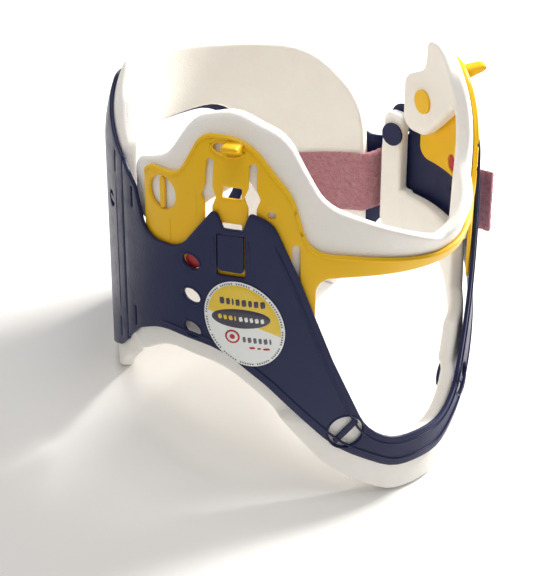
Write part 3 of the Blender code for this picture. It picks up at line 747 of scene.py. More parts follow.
def bead(name: str, path: np.ndarray, depth: float, radius: float, material: bpy.types.Material,
         closed: bool = False) -> bpy.types.Object:
    """Raised round bead along a pattern path, as a mesh tube; an open one has tapered ends.

    Args:
        name: the piece's name.
        path: (s, h) points of the bead's centre line.
        depth: distance outwards of the centre line.
        radius: the bead's radius.
        material: its finish.
        closed: whether the path runs back to its start.

    Returns:
        The linked object.
    """
    points = [Vector(p) for p in RING.wrap(path[:, 0], path[:, 1], np.full(len(path), depth))]
    sides = BEAD_SIDES
    thin_end, taper_points, upright_course = 0.25, 3.0, 0.9
    verts, faces = [], []
    count = len(points)
    for index, point in enumerate(points):
        ahead = points[(index + 1) % count if closed else min(index + 1, count - 1)]
        behind = points[(index - 1) % count if closed else max(index - 1, 0)]
        course = (ahead - behind).normalized()
        across = Vector((0.0, 0.0, 1.0)) if abs(course.z) < upright_course else Vector((0.0, 1.0, 0.0))
        side = course.cross(across).normalized()
        lift = side.cross(course)
        taper = 1.0 if closed else min(1.0, thin_end + min(index, count - 1 - index) / taper_points)
        for k in range(sides):
            angle = 2.0 * math.pi * k / sides
            verts.append(point + (side * math.cos(angle) + lift * math.sin(angle)) * radius * taper * MM)
    spans = count if closed else count - 1
    for index in range(spans):
        a, b = index * sides, ((index + 1) % count) * sides
        faces += [(a + k, a + (k + 1) % sides, b + (k + 1) % sides, b + k) for k in range(sides)]
    if not closed:
        faces += [tuple(reversed(range(sides))), tuple(range((count - 1) * sides, count * sides))]
    return finished_mesh(name, np.array([tuple(v) for v in verts]), faces, material)


def stretch(loop: np.ndarray, start: tuple[float, float], end: tuple[float, float]) -> np.ndarray:
    """The part of a closed loop that runs from the point nearest start to the point nearest end."""
    first = int(np.argmin(((loop - np.array(start)) ** 2).sum(1)))
    last = int(np.argmin(((loop - np.array(end)) ** 2).sum(1)))
    if last < first:
        last += len(loop)
    return loop[[index % len(loop) for index in range(first, last + 1)]]


def place(piece: bpy.types.Object, body: Body, slot: str, *nodes: str) -> bpy.types.Object:
    """Ride a piece on its body, hide the CAD nodes that it stands for, and report it."""
    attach(piece, body.value)
    if nodes:
        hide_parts(*nodes)
    LOG.info("%s rides on %s", piece.name, body.value)
    return piece


@dataclass(frozen=True)
class Trim:
    """Raised beads of one moulding, which share its body, slot and finish."""

    body: Body
    slot: str
    finish: bpy.types.Material

    def bead(self, name: str, path: np.ndarray, depth: float, radius: float, closed: bool = False) -> None:
        """Add one bead along a pattern path."""
        place(bead(name, path, depth, radius, self.finish, closed), self.body, self.slot)


def round_the_back(s: float) -> float:
    """The same place on the ring, counted round the right side."""
    return s - RING.length


def slits(s: float, top: float, foot: float) -> list[np.ndarray]:
    """The two slits at length s, one below the sheet's top and one above its foot."""
    half, margin, length, corner = 0.45, 1.2, 9.0, 0.4
    return [block(s - half, s + half, top - margin - length, top - margin, corner),
            block(s - half, s + half, foot + margin, foot + margin + length, corner)]


def smooth(x: np.ndarray) -> np.ndarray:
    """Smooth step from 0 to 1."""
    x = np.clip(x, 0.0, 1.0)
    return x * x * (3.0 - 2.0 * x)


@dataclass
class FrontShell:
    """Front yoke: opening, horns, windows, tab openings, slits and raised beads."""

    opening: tuple[Corner, ...] = (
        (22.0, -26.0, 24.0), (39.5, 15.0, 60.0), (53.0, 52.0, 40.0), (63.0, 75.5, 12.0))
    horns: tuple[Corner, ...] = (
        (72.0, 79.0, 1.5), (75.0, 71.2, 1.0), (82.5, 71.2, 1.0), (86.0, 79.5, 2.0), (102.0, 58.5, 12.0))
    foot: tuple[Corner, ...] = (
        (13.0, -39.8, 26.0), (38.0, -25.5, 50.0), (66.0, 4.0, 50.0), (84.0, 18.0, 30.0), (112.0, 20.5, 25.0))
    slit_top: float = 77.5
    slit_foot: float = 12.5
    window: tuple[float, float] = (7.6, 5.4)
    window_lean: float = math.radians(25.0)
    window_margin: float = 1.4
    window_rim_radius: float = 0.4
    tab_half: float = 5.7
    tab_corner: float = 0.8
    tab_foot: float = 51.0
    tab_top: float = 68.7
    ridge_offset: float = 7.0
    ridge_ends: tuple[float, float] = (54.0, 67.5)
    chest_rim: float = 15.2
    chest_rim_radius: float = 0.45
    bead_inset: float = 3.2
    bead_radius: float = 0.55
    sunk: float = 0.1

    def outline(self) -> np.ndarray:
        """Whole edge, from the breast round by the left side."""
        fold = HINGE_S + GAP / 2.0
        left_end = [(126.0, 13.5, 14.0), (SHELL_REAR, 6.0, 6.0), (SHELL_REAR, 50.0, 12.0),
                    (SHELL_REAR - 2.0, 68.0, 5.0), (127.0, 70.0, 5.0), (122.0, 58.5, 10.0)]
        right_end = [(-120.0, 58.5, 10.0), (-126.0, 77.0, 4.0), (fold, 85.5, 0.0), (fold, 4.5, 0.0),
                     (-126.0, 13.5, 14.0)]
        return rounded([*self.foot, *left_end, *reversed(self.horns), *reversed(self.opening),
                        *on_right(self.opening), *on_right(self.horns), *right_end,
                        *reversed(on_right(self.foot))])

    def window_edge(self, sign: int, index: int, margin: float = 0.0) -> np.ndarray:
        """Edge of one size window on the side of this sign, or a line round it at half a margin."""
        wide, tall = self.window
        height = WINDOW_TOP - STEP * index
        return ellipse(sign * WINDOW_S, height, wide + margin, tall + margin, sign * self.window_lean)

    def holes(self) -> list[np.ndarray]:
        """Windows, tab openings, fastener holes and slits."""
        made = slits(HINGE_S + SLIT_FROM_FOLD, self.slit_top, self.slit_foot)
        made.append(ellipse(*SIDE_BUTTON_LEFT, SIDE_BUTTON_HOLE, SIDE_BUTTON_HOLE))
        for side in Side:
            sign = side.value
            made += [self.window_edge(sign, index) for index in range(STEPS + 1)]
            middle = sign * LADDER_S
            made.append(block(middle - self.tab_half, middle + self.tab_half, self.tab_foot, self.tab_top,
                              self.tab_corner))
            made.append(ellipse(sign * CHEST_BUTTON[0], CHEST_BUTTON[1], BUTTON_HOLE, BUTTON_HOLE))
        return made

    def build(self, finishes: Finishes) -> None:
        """Make the shell with its beads and raised rims."""
        sheet = Sheet("front_shell_moulding", self.outline(), self.holes(), edge=SHEET_EDGE,
                      edge_steps=SHEET_EDGE_STEPS)
        place(sheet.build(finishes.navy), Body.FRONT, "navy_plastic", "front_shell")
        loop = sheet.loops()[0]
        line = inset(loop, self.bead_inset)
        opening = stretch(line, (60.0, 68.0), (-60.0, 68.0))
        hem = stretch(line, (-112.0, 22.0), (112.0, 22.0))
        trim = Trim(Body.FRONT, "navy_plastic", finishes.navy)
        trim.bead("opening_bead", opening, SHEET_THICK, self.bead_radius)
        trim.bead("hem_bead", hem, SHEET_THICK, self.bead_radius)
        for side in Side:
            self._rims(side, trim)

    def _rims(self, side: Side, trim: Trim) -> None:
        """Raised rims of one side's windows and chest fastener, and the ridges beside its tab."""
        sign = side.value
        depth = SHEET_THICK - self.sunk
        for index in range(STEPS + 1):
            path = self.window_edge(sign, index, self.window_margin)
            trim.bead(f"{side.named('window_rim')}_{index + 1}", path, depth, self.window_rim_radius, True)
        for index, offset in enumerate((-self.ridge_offset, self.ridge_offset)):
            ridge = upright(sign * LADDER_S + offset, *self.ridge_ends, 10)
            trim.bead(f"{side.named('tab_ridge')}_{index + 1}", ridge, depth, self.bead_radius)
        path = ellipse(sign * CHEST_BUTTON[0], CHEST_BUTTON[1], self.chest_rim, self.chest_rim)
        trim.bead(side.named("chest_rim"), path, depth, self.chest_rim_radius, True)


@dataclass
class ChinPiece:
    """Sliding chin piece with its slots, ladder, ribs, rolled rim and tube hooks."""

    top: tuple[Corner, ...] = (
        (49.0, 62.0, 12.0), (55.5, 86.0, 22.0), (74.0, 107.0, 22.0), (95.0, 106.5, 8.0),
        (103.5, 88.8, 8.0), (122.0, 88.8, 4.5))
    foot: tuple[Corner, ...] = (
        (46.5, 51.0, 6.0), (47.0, 22.0, 5.0), (62.0, 22.0, 5.0), (62.0, 48.0, 4.0), (122.0, 48.0, 6.0))
    slot_half: float = 1.6
    slot_corner: float = 1.4
    widenings: tuple[float | None, ...] = (83.0, 84.0, None)
    widening_half: float = 4.0
    widening_corner: float = 0.6
    rung_half_wide: float = 4.0
    rung_half_tall: float = 2.3
    rung_corner: float = 0.6
    mark_seat: float = 7.8
    dimple: tuple[float, float, float] = (64.0, 78.0, 3.2)
    hollow: tuple[float, float, float, float] = (86.2, 102.0, 5.2, 3.6)
    rim_inset: float = 0.9
    rim_radius: float = 0.75
    rim_sunk: float = 0.2
    rib_radius: float = 0.5
    rib_sunk: float = 0.25
    ribs: tuple[tuple[float, float, float], ...] = (
        (95.0, 71.0, 86.0), (107.5, 58.0, 70.5), (66.5, 60.0, 72.0))

    def slot(self, side: Side, index: int) -> np.ndarray:
        """One guide slot, with a wider place where its pin is put in."""
        s, h = GUIDE_PINS[index]
        wide = self.widenings[index]
        corners = []
        for way, start, end in ((1.0, h - self.slot_half, h + TRAVEL + self.slot_half),
                                (-1.0, h + TRAVEL + self.slot_half, h - self.slot_half)):
            edge = s + way * self.slot_half
            corners.append((edge, start, self.slot_corner))
            if wide:
                corners.append((edge, wide - way * self.widening_half, 0.0))
                corners.append((s + way * self.slot_half * 2.0, wide, self.widening_corner))
                corners.append((edge, wide + way * self.widening_half, 0.0))
            corners.append((edge, end, self.slot_corner))
        corners = [corners[-1], *corners[:-1]]
        return rounded(corners if side is Side.LEFT else on_right(corners))

    def holes(self, side: Side) -> list[np.ndarray]:
        """Slots, ladder, mark seat, fastener hole, dimple and hook hollow of one side."""
        sign = side.value
        made = [self.slot(side, index) for index in range(len(GUIDE_PINS))]
        for index in range(STEPS + 1):
            s, h = sign * LADDER_S, CATCH_HEIGHT + STEP * index
            made.append(block(s - self.rung_half_wide, s + self.rung_half_wide,
                              h - self.rung_half_tall, h + self.rung_half_tall, self.rung_corner))
        for s, h, wide, tall in ((WINDOW_S, WINDOW_TOP, self.mark_seat, self.mark_seat),
                                 (*CHIN_BUTTON, BUTTON_HOLE, BUTTON_HOLE),
                                 (*self.dimple, self.dimple[2]), self.hollow):
            made.append(ellipse(sign * s, h, wide, tall))
        return made

    def build(self, finishes: Finishes) -> None:
        """Make the band, its rim, ribs and hooks."""
        outline = rounded([(0.0, 52.5, 0.0), *self.foot, *reversed(self.top), (0.0, 58.5, 0.0),
                           *on_right(self.top), *reversed(on_right(self.foot))])
        holes = [hole for side in Side for hole in self.holes(side)]
        sheet = Sheet("chin_piece_moulding", outline, holes, constant(-GAP - CHIN_THICK), constant(-GAP),
                      edge=SHEET_EDGE, edge_steps=SHEET_EDGE_STEPS, rim_step=1.8)
        place(sheet.build(finishes.yellow), Body.CHIN, "yellow_plastic", "chin_piece")
        line = inset(sheet.loops()[0], self.rim_inset)
        rim = stretch(line, (120.0, 82.0), (-120.0, 82.0))
        trim = Trim(Body.CHIN, "yellow_plastic", finishes.yellow)
        trim.bead("rolled_rim", rim, -GAP - self.rim_sunk, self.rim_radius)
        for side in Side:
            for index, (s, low, high) in enumerate(self.ribs):
                path = upright(side.value * s, low, high, 12)
                name = f"{side.named('wing_rib')}_{index + 1}"
                trim.bead(name, path, -GAP - self.rib_sunk, self.rib_radius)
            TubeHook(side).build(finishes)


@dataclass
class TubeHook:
    """Hook for an oxygen tube: a tapered tongue standing off the wing, with a raised collar at its root."""

    side: Side
    s: float = 79.25
    h: float = 103.0
    width: float = 6.6
    profile: tuple[Corner, ...] = (
        (-0.3, -2.3, 0.0), (6.6, -1.4, 1.5), (8.3, -0.6, 0.5),
        (8.3, 0.6, 0.5), (6.6, 1.4, 1.5), (-0.3, 2.3, 0.0))
    rounding: tuple[tuple[float, float], ...] = ((0.0, 0.7), (0.2, 0.25), (0.7, 0.0))
    collar: tuple[float, float, float, float, float] = (3.4, -0.5, 14.5, 6.4, 0.12)
    collar_radius: float = 0.5

    def build(self, finishes: Finishes) -> None:
        """Make the tongue with rounded sides, and the ridge that runs from it round the hollow."""
        frame = RING.frame(self.side.value * self.s, self.h)
        outline = resampled(rounded(self.profile, math.radians(15.0)), 0.9)
        if not counterclockwise(outline):
            outline = outline[::-1]
        half = self.width / 2.0
        levels = [(-half + step, shrink) for step, shrink in self.rounding]
        levels += [(half - step, shrink) for step, shrink in reversed(self.rounding)]
        verts, faces, size = [], [], len(outline)
        for across, shrink in levels:
            ring = inset(outline, shrink)
            verts += [frame @ Vector((across, height, depth)) for depth, height in ring]
        for level in range(len(levels) - 1):
            a, b = level * size, (level + 1) * size
            faces += [(a + (i + 1) % size, a + i, b + i, b + (i + 1) % size) for i in range(size)]
        faces += [tuple(range(size)), tuple(reversed(range((len(levels) - 1) * size, len(levels) * size)))]
        hook = finished_mesh(self.side.named("tube_hook"), np.array([tuple(v) for v in verts]), faces,
                             finishes.yellow)
        place(hook, Body.CHIN, "yellow_plastic", self.side.named("cannula_hook"))
        shift_s, shift_h, wide, tall, lean = self.collar
        collar = ellipse(self.side.value * (self.s + shift_s), self.h + shift_h, wide, tall,
                         self.side.value * lean)
        trim = Trim(Body.CHIN, "yellow_plastic", finishes.yellow)
        trim.bead(self.side.named("hook_collar"), collar, -GAP, self.collar_radius, True)


@dataclass
class Pads:
    """The three foam pads, cut with soft rounded edges and lightly crowned."""

    chin_top: tuple[Corner, ...] = (
        (14.0, 71.0, 20.0), (42.0, 80.0, 20.0), (58.0, 107.0, 18.0), (82.0, 115.0, 24.0),
        (101.5, 110.5, 14.0), (112.0, 93.5, 14.0))
    chin_foot: tuple[Corner, ...] = (
        (45.5, 50.5, 4.0), (46.5, 39.5, 4.0), (62.0, 39.5, 5.0), (67.0, 80.0, 8.0), (74.0, 91.0, 3.0),
        (90.0, 80.0, 20.0), (112.0, 62.0, 10.0))
    yoke_foot: tuple[Corner, ...] = (
        (13.0, -52.8, 24.0), (40.0, -37.5, 50.0), (66.0, -6.0, 50.0), (84.0, 8.0, 30.0), (112.0, 11.0, 25.0))
    yoke_edge: tuple[Corner, ...] = (
        (21.0, -28.5, 24.0), (36.5, 7.0, 4.0), (66.5, 7.0, 3.0), (68.5, 30.0, 4.0))
    step_start: float = 123.5
    step_height: float = -12.0
    step_run: float = 3.0
    back_top: tuple[Corner, ...] = (
        (-137.5, 90.0, 4.0), (-153.0, 102.5, 10.0), (-176.0, 110.5, 20.0),
        (-259.0, 97.0, 60.0), (-303.0, 91.5, 42.0), (-329.0, 68.0, 40.0))
    below_table: float = 2.0
    edge: float = 1.9
    edge_steps: int = 5
    crown: float = 0.45

    def _pad(self, name: str, outline: np.ndarray, holes: Sequence[np.ndarray], outer: Depth,
             finishes: Finishes, body: Body, node: str) -> None:
        """One pad, in foam."""
        sheet = Sheet(name, outline, holes, lambda s, h: outer(s, h) - FOAM_THICK, outer, edge=self.edge,
                      edge_steps=self.edge_steps, crown=self.crown)
        piece = place(sheet.build(finishes.foam), body, "white_foam", node)

    def chin(self, finishes: Finishes) -> None:
        """Pad behind the chin piece."""
        left_end = [(127.5, 62.0, 8.0), (127.5, 87.0, 6.0)]
        right_end = [(-132.0, 87.0, 6.0), (-132.0, 62.0, 8.0)]
        outline = rounded([*self.chin_foot, *left_end, *reversed(self.chin_top), (0.0, 65.5, 0.0),
                           *on_right(self.chin_top), *right_end, *reversed(on_right(self.chin_foot))])
        outer = constant(-2.0 * GAP - CHIN_THICK)
        self._pad("chin_pad", outline, (), outer, finishes, Body.CHIN, "chin_foam")

    def yoke(self, finishes: Finishes) -> None:
        """Pad of the front shell."""

        def outer(s: np.ndarray, h: np.ndarray) -> np.ndarray:
            """Set back where the chin piece slides between pad and sheet."""
            side = 1.0 - smooth((np.abs(s) - self.step_start) / self.step_run)
            return -GAP - (CHIN_THICK + GAP) * side * smooth((h - self.step_height) / self.step_run)

        left_end = [(SHELL_REAR, 5.0, 8.0), (SHELL_REAR, 48.0, 10.0), (SHELL_REAR - 1.5, 66.5, 4.0),
                    (129.5, 66.0, 3.0), (129.5, 30.0, 1.0)]
        outline = rounded([*self.yoke_foot, *left_end, *reversed(self.yoke_edge), *on_right(self.yoke_edge),
                           (-134.5, 30.0, 3.0), (-134.5, -2.0, 6.0), *reversed(on_right(self.yoke_foot))])
        self._pad("yoke_pad", outline, (), outer, finishes, Body.FRONT, "yoke_foam")

    def back(self, finishes: Finishes) -> None:
        """Pad of the back panel, flat on the table."""
        end = round_the_back(151.0)
        first, last = round_the_back(166.0), -166.0
        floor = [(s, RING.floor_height(s, -self.below_table), 0.0) for s in np.linspace(first, last, 24)]
        outline = rounded([*self.back_top, (end, 40.0, 6.0), (end, -12.0, 4.0), *floor, (-137.5, -5.0, 4.0)])
        hole = block(-271.5, -198.5, 5.5, 68.5, 22.0)
        self._pad("back_pad", outline, (hole,), constant(-GAP), finishes, Body.BACK, "back_foam")

    def build(self, finishes: Finishes) -> None:
        """Make all three."""
        self.chin(finishes)
        self.yoke(finishes)
        self.back(finishes)


@dataclass
class BackPanel:
    """Rear panel: its opening, slits, tail and beads."""

    top: tuple[Corner, ...] = (
        (HINGE_S - GAP / 2.0, 85.5, 0.0), (-152.0, 94.0, 8.0), (-176.0, 105.0, 20.0), (-259.0, 91.0, 60.0),
        (-298.0, 84.0, 30.0), (-319.0, 66.0, 24.0), (-329.0, 51.0, 10.0))
    step_out: float = 5.7
    slit_top: float = 87.0
    slit_foot: float = 0.0
    second_fold: float = 1.2
    fold_ends: tuple[float, float] = (10.0, 76.0)
    fold_radius: float = 0.35
    fold_sunk: float = 0.15
    opening_bead_inset: float = 2.4
    opening_bead_radius: float = 0.5

    def tail(self, s: np.ndarray, h: np.ndarray) -> np.ndarray:
        """The sheet steps out over the strap at the tail."""
        first, last = round_the_back(152.0), round_the_back(143.0)
        return self.step_out * smooth((s - first) / (last - first))

    def build(self, finishes: Finishes) -> None:
        """Make the panel and its beads."""
        end = round_the_back(128.5)
        bend = round_the_back(146.0)
        run = np.linspace(round_the_back(158.0), -170.0, 24)
        floor = [(s, RING.floor_height(s, 8.0), 0.0) for s in run]
        tail = [(bend, 49.0, 8.0), (end, 49.0, 6.0), (end, 10.0, 6.0), (bend, 10.0, 8.0)]
        outline = rounded([*self.top, *tail, *floor, (-146.0, -4.5, 10.0), (HINGE_S - GAP / 2.0, 3.5, 0.0)])
        holes = [block(-268.0, -202.0, 9.0, 65.0, 20.0),
                 ellipse(*SIDE_BUTTON_RIGHT, SIDE_BUTTON_HOLE, SIDE_BUTTON_HOLE),
                 *slits(HINGE_S - SLIT_FROM_FOLD, self.slit_top, self.slit_foot)]
        sheet = Sheet("back_panel_moulding", outline, holes, self.tail,
                      lambda s, h: self.tail(s, h) + SHEET_THICK, edge=SHEET_EDGE,
                      edge_steps=SHEET_EDGE_STEPS)
        place(sheet.build(finishes.navy), Body.BACK, "navy_plastic", "back_panel")
        trim = Trim(Body.BACK, "navy_plastic", finishes.navy)
        for index, from_fold in enumerate((SLIT_FROM_FOLD, self.second_fold)):
            path = upright(HINGE_S - from_fold, *self.fold_ends, 20)
            trim.bead(f"fold_line_{index + 1}", path, SHEET_THICK - self.fold_sunk, self.fold_radius)
        rim = inset(sheet.loops()[1], self.opening_bead_inset)
        trim.bead("rear_opening_bead", rim, SHEET_THICK, self.opening_bead_radius, True)


@dataclass
class Strap:
    """Loop strap from the back pad's inner face, out under the tail and off the left side, and its tape."""

    foot: float = 15.5
    top: float = 44.0
    start: float = 196.0
    leave: float = 120.0
    free: float = 34.0
    rise: float = 0.085
    level: float = 150.0
    thick: float = 2.0
    cross_start: float = 150.5
    cross_run: float = 8.0
    swing: float = math.radians(7.0)
    stations: int = 150
    rows: int = 34
    seed: int = 7
    fuzz: float = 0.16
    edge_run: float = 0.8
    edge_least: float = 0.35
    patch_thick: float = 1.2
    patch_ends: tuple[float, float] = (103.0, 136.0)
    patch_corner: float = 3.0
    patch_edge: float = 0.4

    def centre(self, along: float) -> tuple[Vector, Vector]:
        """Middle of the strap's foot edge and its outward direction, at a length from the sewn end."""
        s = self.start - along
        over_patch = SHEET_THICK + self.patch_thick + 2.0 * GAP + self.thick / 2.0
        over_foam = -2.0 * GAP - FOAM_THICK - self.thick / 2.0
        if s >= self.leave:
            share = float(smooth(np.array((self.cross_start - s) / self.cross_run)))
            t = over_foam + (over_patch - over_foam) * share
            tangent = RING.tangent(np.array(s))
            outward = RING.direction(float(tangent[1]), -float(tangent[0]), 0.0)
            return RING.at(s, self.foot + self.rise * (self.level - s), t), outward
        base, outward = self.centre(self.start - self.leave)
        tangent = RING.tangent(np.array(self.leave))
        turn = Matrix.Rotation(self.swing, 2)
        course = turn @ Vector((-float(tangent[0]), -float(tangent[1])))
        step = RING.direction(course.x, course.y, self.rise)
        return base + step * (self.leave - s) * MM, outward

    def build(self, finishes: Finishes) -> None:
        """Make the strap as one bending ribbon with a fuzzy face, and the tape."""
        up = RING.direction(0.0, 0.0, 1.0)
        length = self.start - self.leave + self.free
        stations = np.linspace(0.0, length, self.stations)
        heights = np.linspace(0.0, self.top - self.foot, self.rows)
        rng = np.random.default_rng(self.seed)
        verts: list[Vector] = []
        loop_size = 2 * self.rows
        for along in stations:
            base, outward = self.centre(float(along))
            ahead, _ = self.centre(float(min(along + 0.5, length)))
            behind, _ = self.centre(float(max(along - 0.5, 0.0)))
            normal = (ahead - behind).normalized().cross(up)
            normal = normal if normal.dot(outward) > 0.0 else -normal
            for face in (1.0, -1.0):
                for height in heights if face > 0.0 else heights[::-1]:
                    from_edge = min(height, self.top - self.foot - height)
                    edge = min(1.0, from_edge / self.edge_run + self.edge_least)
                    fuzz = self.fuzz * float(rng.standard_normal())
                    half = self.thick / 2.0 * edge + fuzz
                    verts.append(base + up * height * MM + normal * face * half * MM)
        faces = []
        for i in range(len(stations) - 1):
            a, b = i * loop_size, (i + 1) * loop_size
            for here in range(loop_size):
                there = (here + 1) % loop_size
                faces.append((a + here, a + there, b + there, b + here))
        faces += [tuple(reversed(range(loop_size))), tuple(range(len(verts) - loop_size, len(verts)))]
        strap = finished_mesh("loop_strap", np.array([tuple(v) for v in verts]), faces, finishes.pile)
        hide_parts("strap_root", "closure_strap")
        tuple(RING.at(131.0, 30.0, 4.4))
        tuple(RING.at(124.0, 30.0, 4.4))
        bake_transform(strap)
        LOG.info("loop_strap bends between back and strap")
        outline = block(*self.patch_ends, self.foot, self.top, self.patch_corner)
        tape = Sheet("hook_tape", outline, (), constant(SHEET_THICK + GAP),
                     constant(SHEET_THICK + GAP + self.patch_thick), edge=self.patch_edge)
        place(tape.build(finishes.hook), Body.FRONT, "hook_tape", "hook_patch")


@dataclass
class Label:
    """Egg-shaped label with a plain two-colour field, a dark band, a ring of ticks and a round emblem."""

    s: float = -74.5
    h: float = 31.0
    wide: float = 31.0
    tall: float = 38.0
    lean: float = math.radians(24.0)
    depth: float = SHEET_THICK + GAP
    thick: float = 0.25
    field_margin: float = 3.2
    block_gap: float = 0.7
    block_corner: float = 0.3
    layer: float = 0.04
    ticks: int = 96
    tick_gap: int = 7
    tick_margin: float = 1.9
    tick_half: tuple[float, float] = (0.28, 0.32)
    tick_lift: float = 0.12

    def _print(self, name: str, outline: np.ndarray, material: bpy.types.Material, level: int) -> None:
        """One thin printed area on the label, a layer higher at each level."""
        low = self.depth + self.thick + self.layer * level
        sheet = Sheet(name, outline, (), constant(low - 0.05), constant(low + self.layer), edge=0.02,
                      edge_steps=1, spacing=2.5, rim_step=1.2)
        place(sheet.build(material), Body.FRONT, "label_print")

    def _field(self) -> np.ndarray:
        """Upper right field, bounded below by a falling wave."""
        wide, tall = self.wide - self.field_margin, self.tall - self.field_margin
        egg = ellipse(self.s, self.h, wide, tall, self.lean, 90)
        share = (egg[:, 0] - self.s) / self.wide
        wave = self.h + 1.0 - 9.0 * share - 5.0 * share * share
        return np.stack([egg[:, 0], np.maximum(egg[:, 1], wave)], axis=-1)

    def _row(self, name: str, start: float, height: float, tall: float, widths: Sequence[float],
             material: bpy.types.Material, level: int) -> None:
        """Row of plain blocks."""
        s = start
        for index, wide in enumerate(widths):
            outline = block(s, s + wide, height, height + tall, self.block_corner)
            self._print(f"{name}_{index + 1}", outline, material, level)
            s += wide + self.block_gap

    def build(self, finishes: Finishes) -> None:
        """Make the label and its print."""
        plate = Sheet("label_plate", ellipse(self.s, self.h, self.wide, self.tall, self.lean, 72), (),
                      constant(self.depth), constant(self.depth + self.thick), edge=0.1, edge_steps=2)
        place(plate.build(finishes.label_white), Body.FRONT, "label_print", "label")
        self._print("label_field", self._field(), finishes.label_yellow, 1)
        self._print("label_band", ellipse(self.s - 1.2, self.h + 2.4, 23.5, 8.4, math.radians(3.0)),
                    finishes.label_dark, 2)
        self._row("label_title", self.s - 9.5, self.h + 8.0, 3.0, (1.9, 1.6, 0.8, 1.7, 1.9, 1.5, 1.8, 1.9),
                  finishes.label_dark, 2)
        self._row("label_band_left", self.s - 10.2, self.h + 1.2, 2.2, (1.5, 1.4, 1.6, 0.7),
                  finishes.label_yellow, 3)
        self._row("label_band_right", self.s - 1.8, self.h + 1.2, 2.2, (1.5, 1.4, 1.3, 1.5, 1.4),
                  finishes.label_white, 3)
        emblem = (("label_emblem", 6.0, finishes.red), ("label_emblem_core", 4.4, finishes.label_white),
                  ("label_emblem_dot", 2.2, finishes.red))
        for level, (name, across, ink) in enumerate(emblem, start=1):
            self._print(name, ellipse(self.s - 4.5, self.h - 6.0, across, across), ink, level)
        self._row("label_maker", self.s - 0.4, self.h - 8.0, 2.6, (1.3, 1.5, 1.4, 1.3, 1.5, 0.8),
                  finishes.label_grey, 1)
        self._row("label_note", self.s + 2.2, self.h - 10.6, 1.0, (2.4, 1.6, 2.8), finishes.red, 1)
        self._ticks(finishes)

    def _ticks(self, finishes: Finishes) -> None:
        """Ring of small marks just inside the label's edge, as one piece."""
        verts, faces = [], []
        half_wide = (self.wide - self.tick_margin) / 2.0
        half_tall = (self.tall - self.tick_margin) / 2.0
        depth = self.depth + self.thick + self.tick_lift
        for index in range(self.ticks):
            angle = 2.0 * math.pi * index / self.ticks
            if index % self.tick_gap == self.tick_gap - 1:
                continue
            radial = Vector((math.cos(angle) * half_wide, math.sin(angle) * half_tall))
            radial.rotate(Matrix.Rotation(self.lean, 2))
            out = radial.normalized()
            along = Vector((-out.y, out.x))
            a, b = self.tick_half
            for across, upwards in ((-a, -b), (a, -b), (a, b), (-a, b)):
                point = radial + along * across + out * upwards
                verts.append(RING.at(self.s + point.x, self.h + point.y, depth))
            size = len(verts)
            faces.append((size - 4, size - 3, size - 2, size - 1))
        ticks = finished_mesh("label_ticks", np.array([tuple(v) for v in verts]), faces, finishes.label_grey)
        place(ticks, Body.FRONT, "label_print")


@dataclass
class Hardware:
    """Frame pieces that keep their CAD shape and get a finish."""

    navy: tuple[str, ...] = ("lock_tab", "chest_button", "side_button")

    def build(self, nodes: dict[str, bpy.types.Object], finishes: Finishes) -> None:
        """Dress every node that is still shown."""
        for name, node in nodes.items():
            if name.startswith("chin_button"):
                finish = finishes.yellow
            elif name.startswith("size_mark"):
                finish = finishes.red
            elif name.startswith(self.navy) or name.startswith("guide_pin"):
                finish = finishes.navy
            else:
                continue
            node.data.materials.clear()
            node.data.materials.append(finish)
            LOG.info("%s keeps its CAD shape", name)


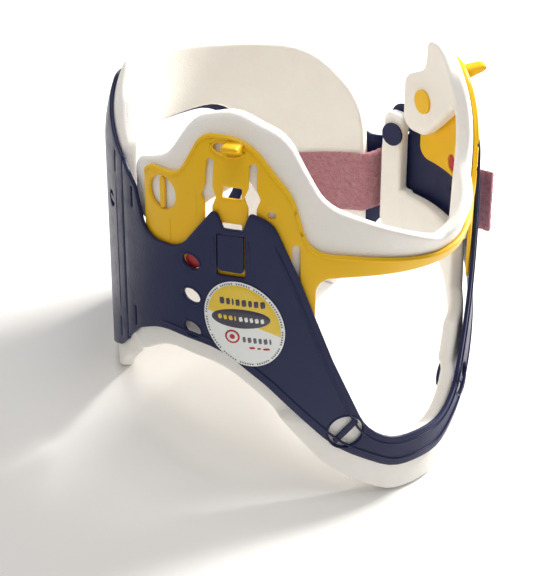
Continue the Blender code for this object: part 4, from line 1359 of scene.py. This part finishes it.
@dataclass
class Studio:
    """White table top, key light from the right, weak top light, pale surroundings and the camera."""

    view_azimuth: float = math.radians(-40.0)
    view_elevation: float = math.radians(28.0)
    distance: float = 0.8
    lens: float = 113.0
    aim: tuple[float, float, float] = (0.0, 18.0, 0.0)
    lamp_aim: Vector = field(default_factory=lambda: Vector((0.0, 0.0, 0.06)))
    key_at: tuple[float, float, float] = (1.05, 0.05, 0.68)
    key_size: float = 0.30
    key_power: float = 30.0
    top_at: tuple[float, float, float] = (-0.1, 0.3, 1.6)
    top_size: float = 0.9
    top_power: float = 9.0
    surroundings: float = 0.42
    table_half: float = 4.0
    table_drop: float = 0.0003
    table_light: tuple[float, float, float] = (0.92, 0.905, 0.885)
    table_dark: tuple[float, float, float] = (0.90, 0.885, 0.865)

    def camera(self) -> None:
        """Camera set about the collar's own leaning axis."""
        a, e = self.view_azimuth, self.view_elevation
        back = RING.direction(math.sin(a) * math.cos(e), -math.cos(a) * math.cos(e), math.sin(e))
        right = RING.direction(math.cos(a), math.sin(a), 0.0)
        target = Vector(RING.stand(*[np.array(v) for v in self.aim]))
        turn = Matrix((right, back.cross(right), back)).transposed().to_4x4()
        camera = bpy.data.objects.new("camera", bpy.data.cameras.new("camera"))
        camera.data.lens = self.lens
        camera.data.sensor_width = 36.0
        camera.data.clip_start = 0.01
        camera.matrix_world = Matrix.Translation(target + back * self.distance) @ turn
        bpy.context.collection.objects.link(camera)
        bpy.context.scene.camera = camera

    def lamp(self, name: str, place_at: tuple[float, float, float], size: float, power: float,
             colour: tuple[float, float, float]) -> None:
        """One square area light aimed at the collar."""
        light = bpy.data.lights.new(name, "AREA")
        light.size = size
        light.energy = power
        light.color = colour
        lamp = bpy.data.objects.new(name, light)
        lamp.location = place_at
        lamp.rotation_euler = (self.lamp_aim - Vector(place_at)).to_track_quat("-Z", "Y").to_euler()
        bpy.context.collection.objects.link(lamp)

    def build(self) -> None:
        """Make the table, lights, world and camera."""
        shader = Shader("table_white", Specular_IOR_Level=0.1)
        soft = shader.ramp(shader.noise(3.0), 0.3, 0.7)
        shader.feed("Base Color", shader.blend(soft, rgba(self.table_dark), rgba(self.table_light)))
        shader.feed("Roughness", soft * 0.05 + 0.8)
        half = self.table_half
        corners = np.array([(-half, -half, 0.0), (half, -half, 0.0), (half, half, 0.0), (-half, half, 0.0)])
        table = finished_mesh("table_top", corners, [(0, 1, 2, 3)], shader.material)
        table.location.z = -self.table_drop
        self.lamp("key", self.key_at, self.key_size, self.key_power, (1.0, 0.975, 0.94))
        self.lamp("top", self.top_at, self.top_size, self.top_power, (1.0, 0.99, 0.97))
        world = bpy.data.worlds.new("studio")
        world.use_nodes = True
        background = world.node_tree.nodes["Background"]
        background.inputs["Color"].default_value = (1.0, 0.995, 0.985, 1.0)
        background.inputs["Strength"].default_value = self.surroundings
        bpy.context.scene.world = world
        bpy.context.scene.view_settings.view_transform = "Standard"
        self.camera()


def seat_ring(joints: Sequence[dict[str, Any]]) -> None:
    """Move the ring so that the fold's axis falls where the frame has it."""
    fold = next(joint for joint in joints if joint["name"] == "back_fold")
    RING.base = Vector(fold["pos_m"]) - RING.at(HINGE_S, RING.chin_start, SHEET_THICK)


def main() -> None:
    """Build every piece around the frame."""
    logging.basicConfig(level=logging.INFO, format="%(name)s: %(message)s")
    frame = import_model()
    seat_ring(frame["joints"])
    finishes = Finishes()
    FrontShell().build(finishes)
    ChinPiece().build(finishes)
    Pads().build(finishes)
    BackPanel().build(finishes)
    Strap().build(finishes)
    Label().build(finishes)
    Hardware().build(frame["nodes"], finishes)
    Studio().build()


if __name__ == "__main__":
    main()
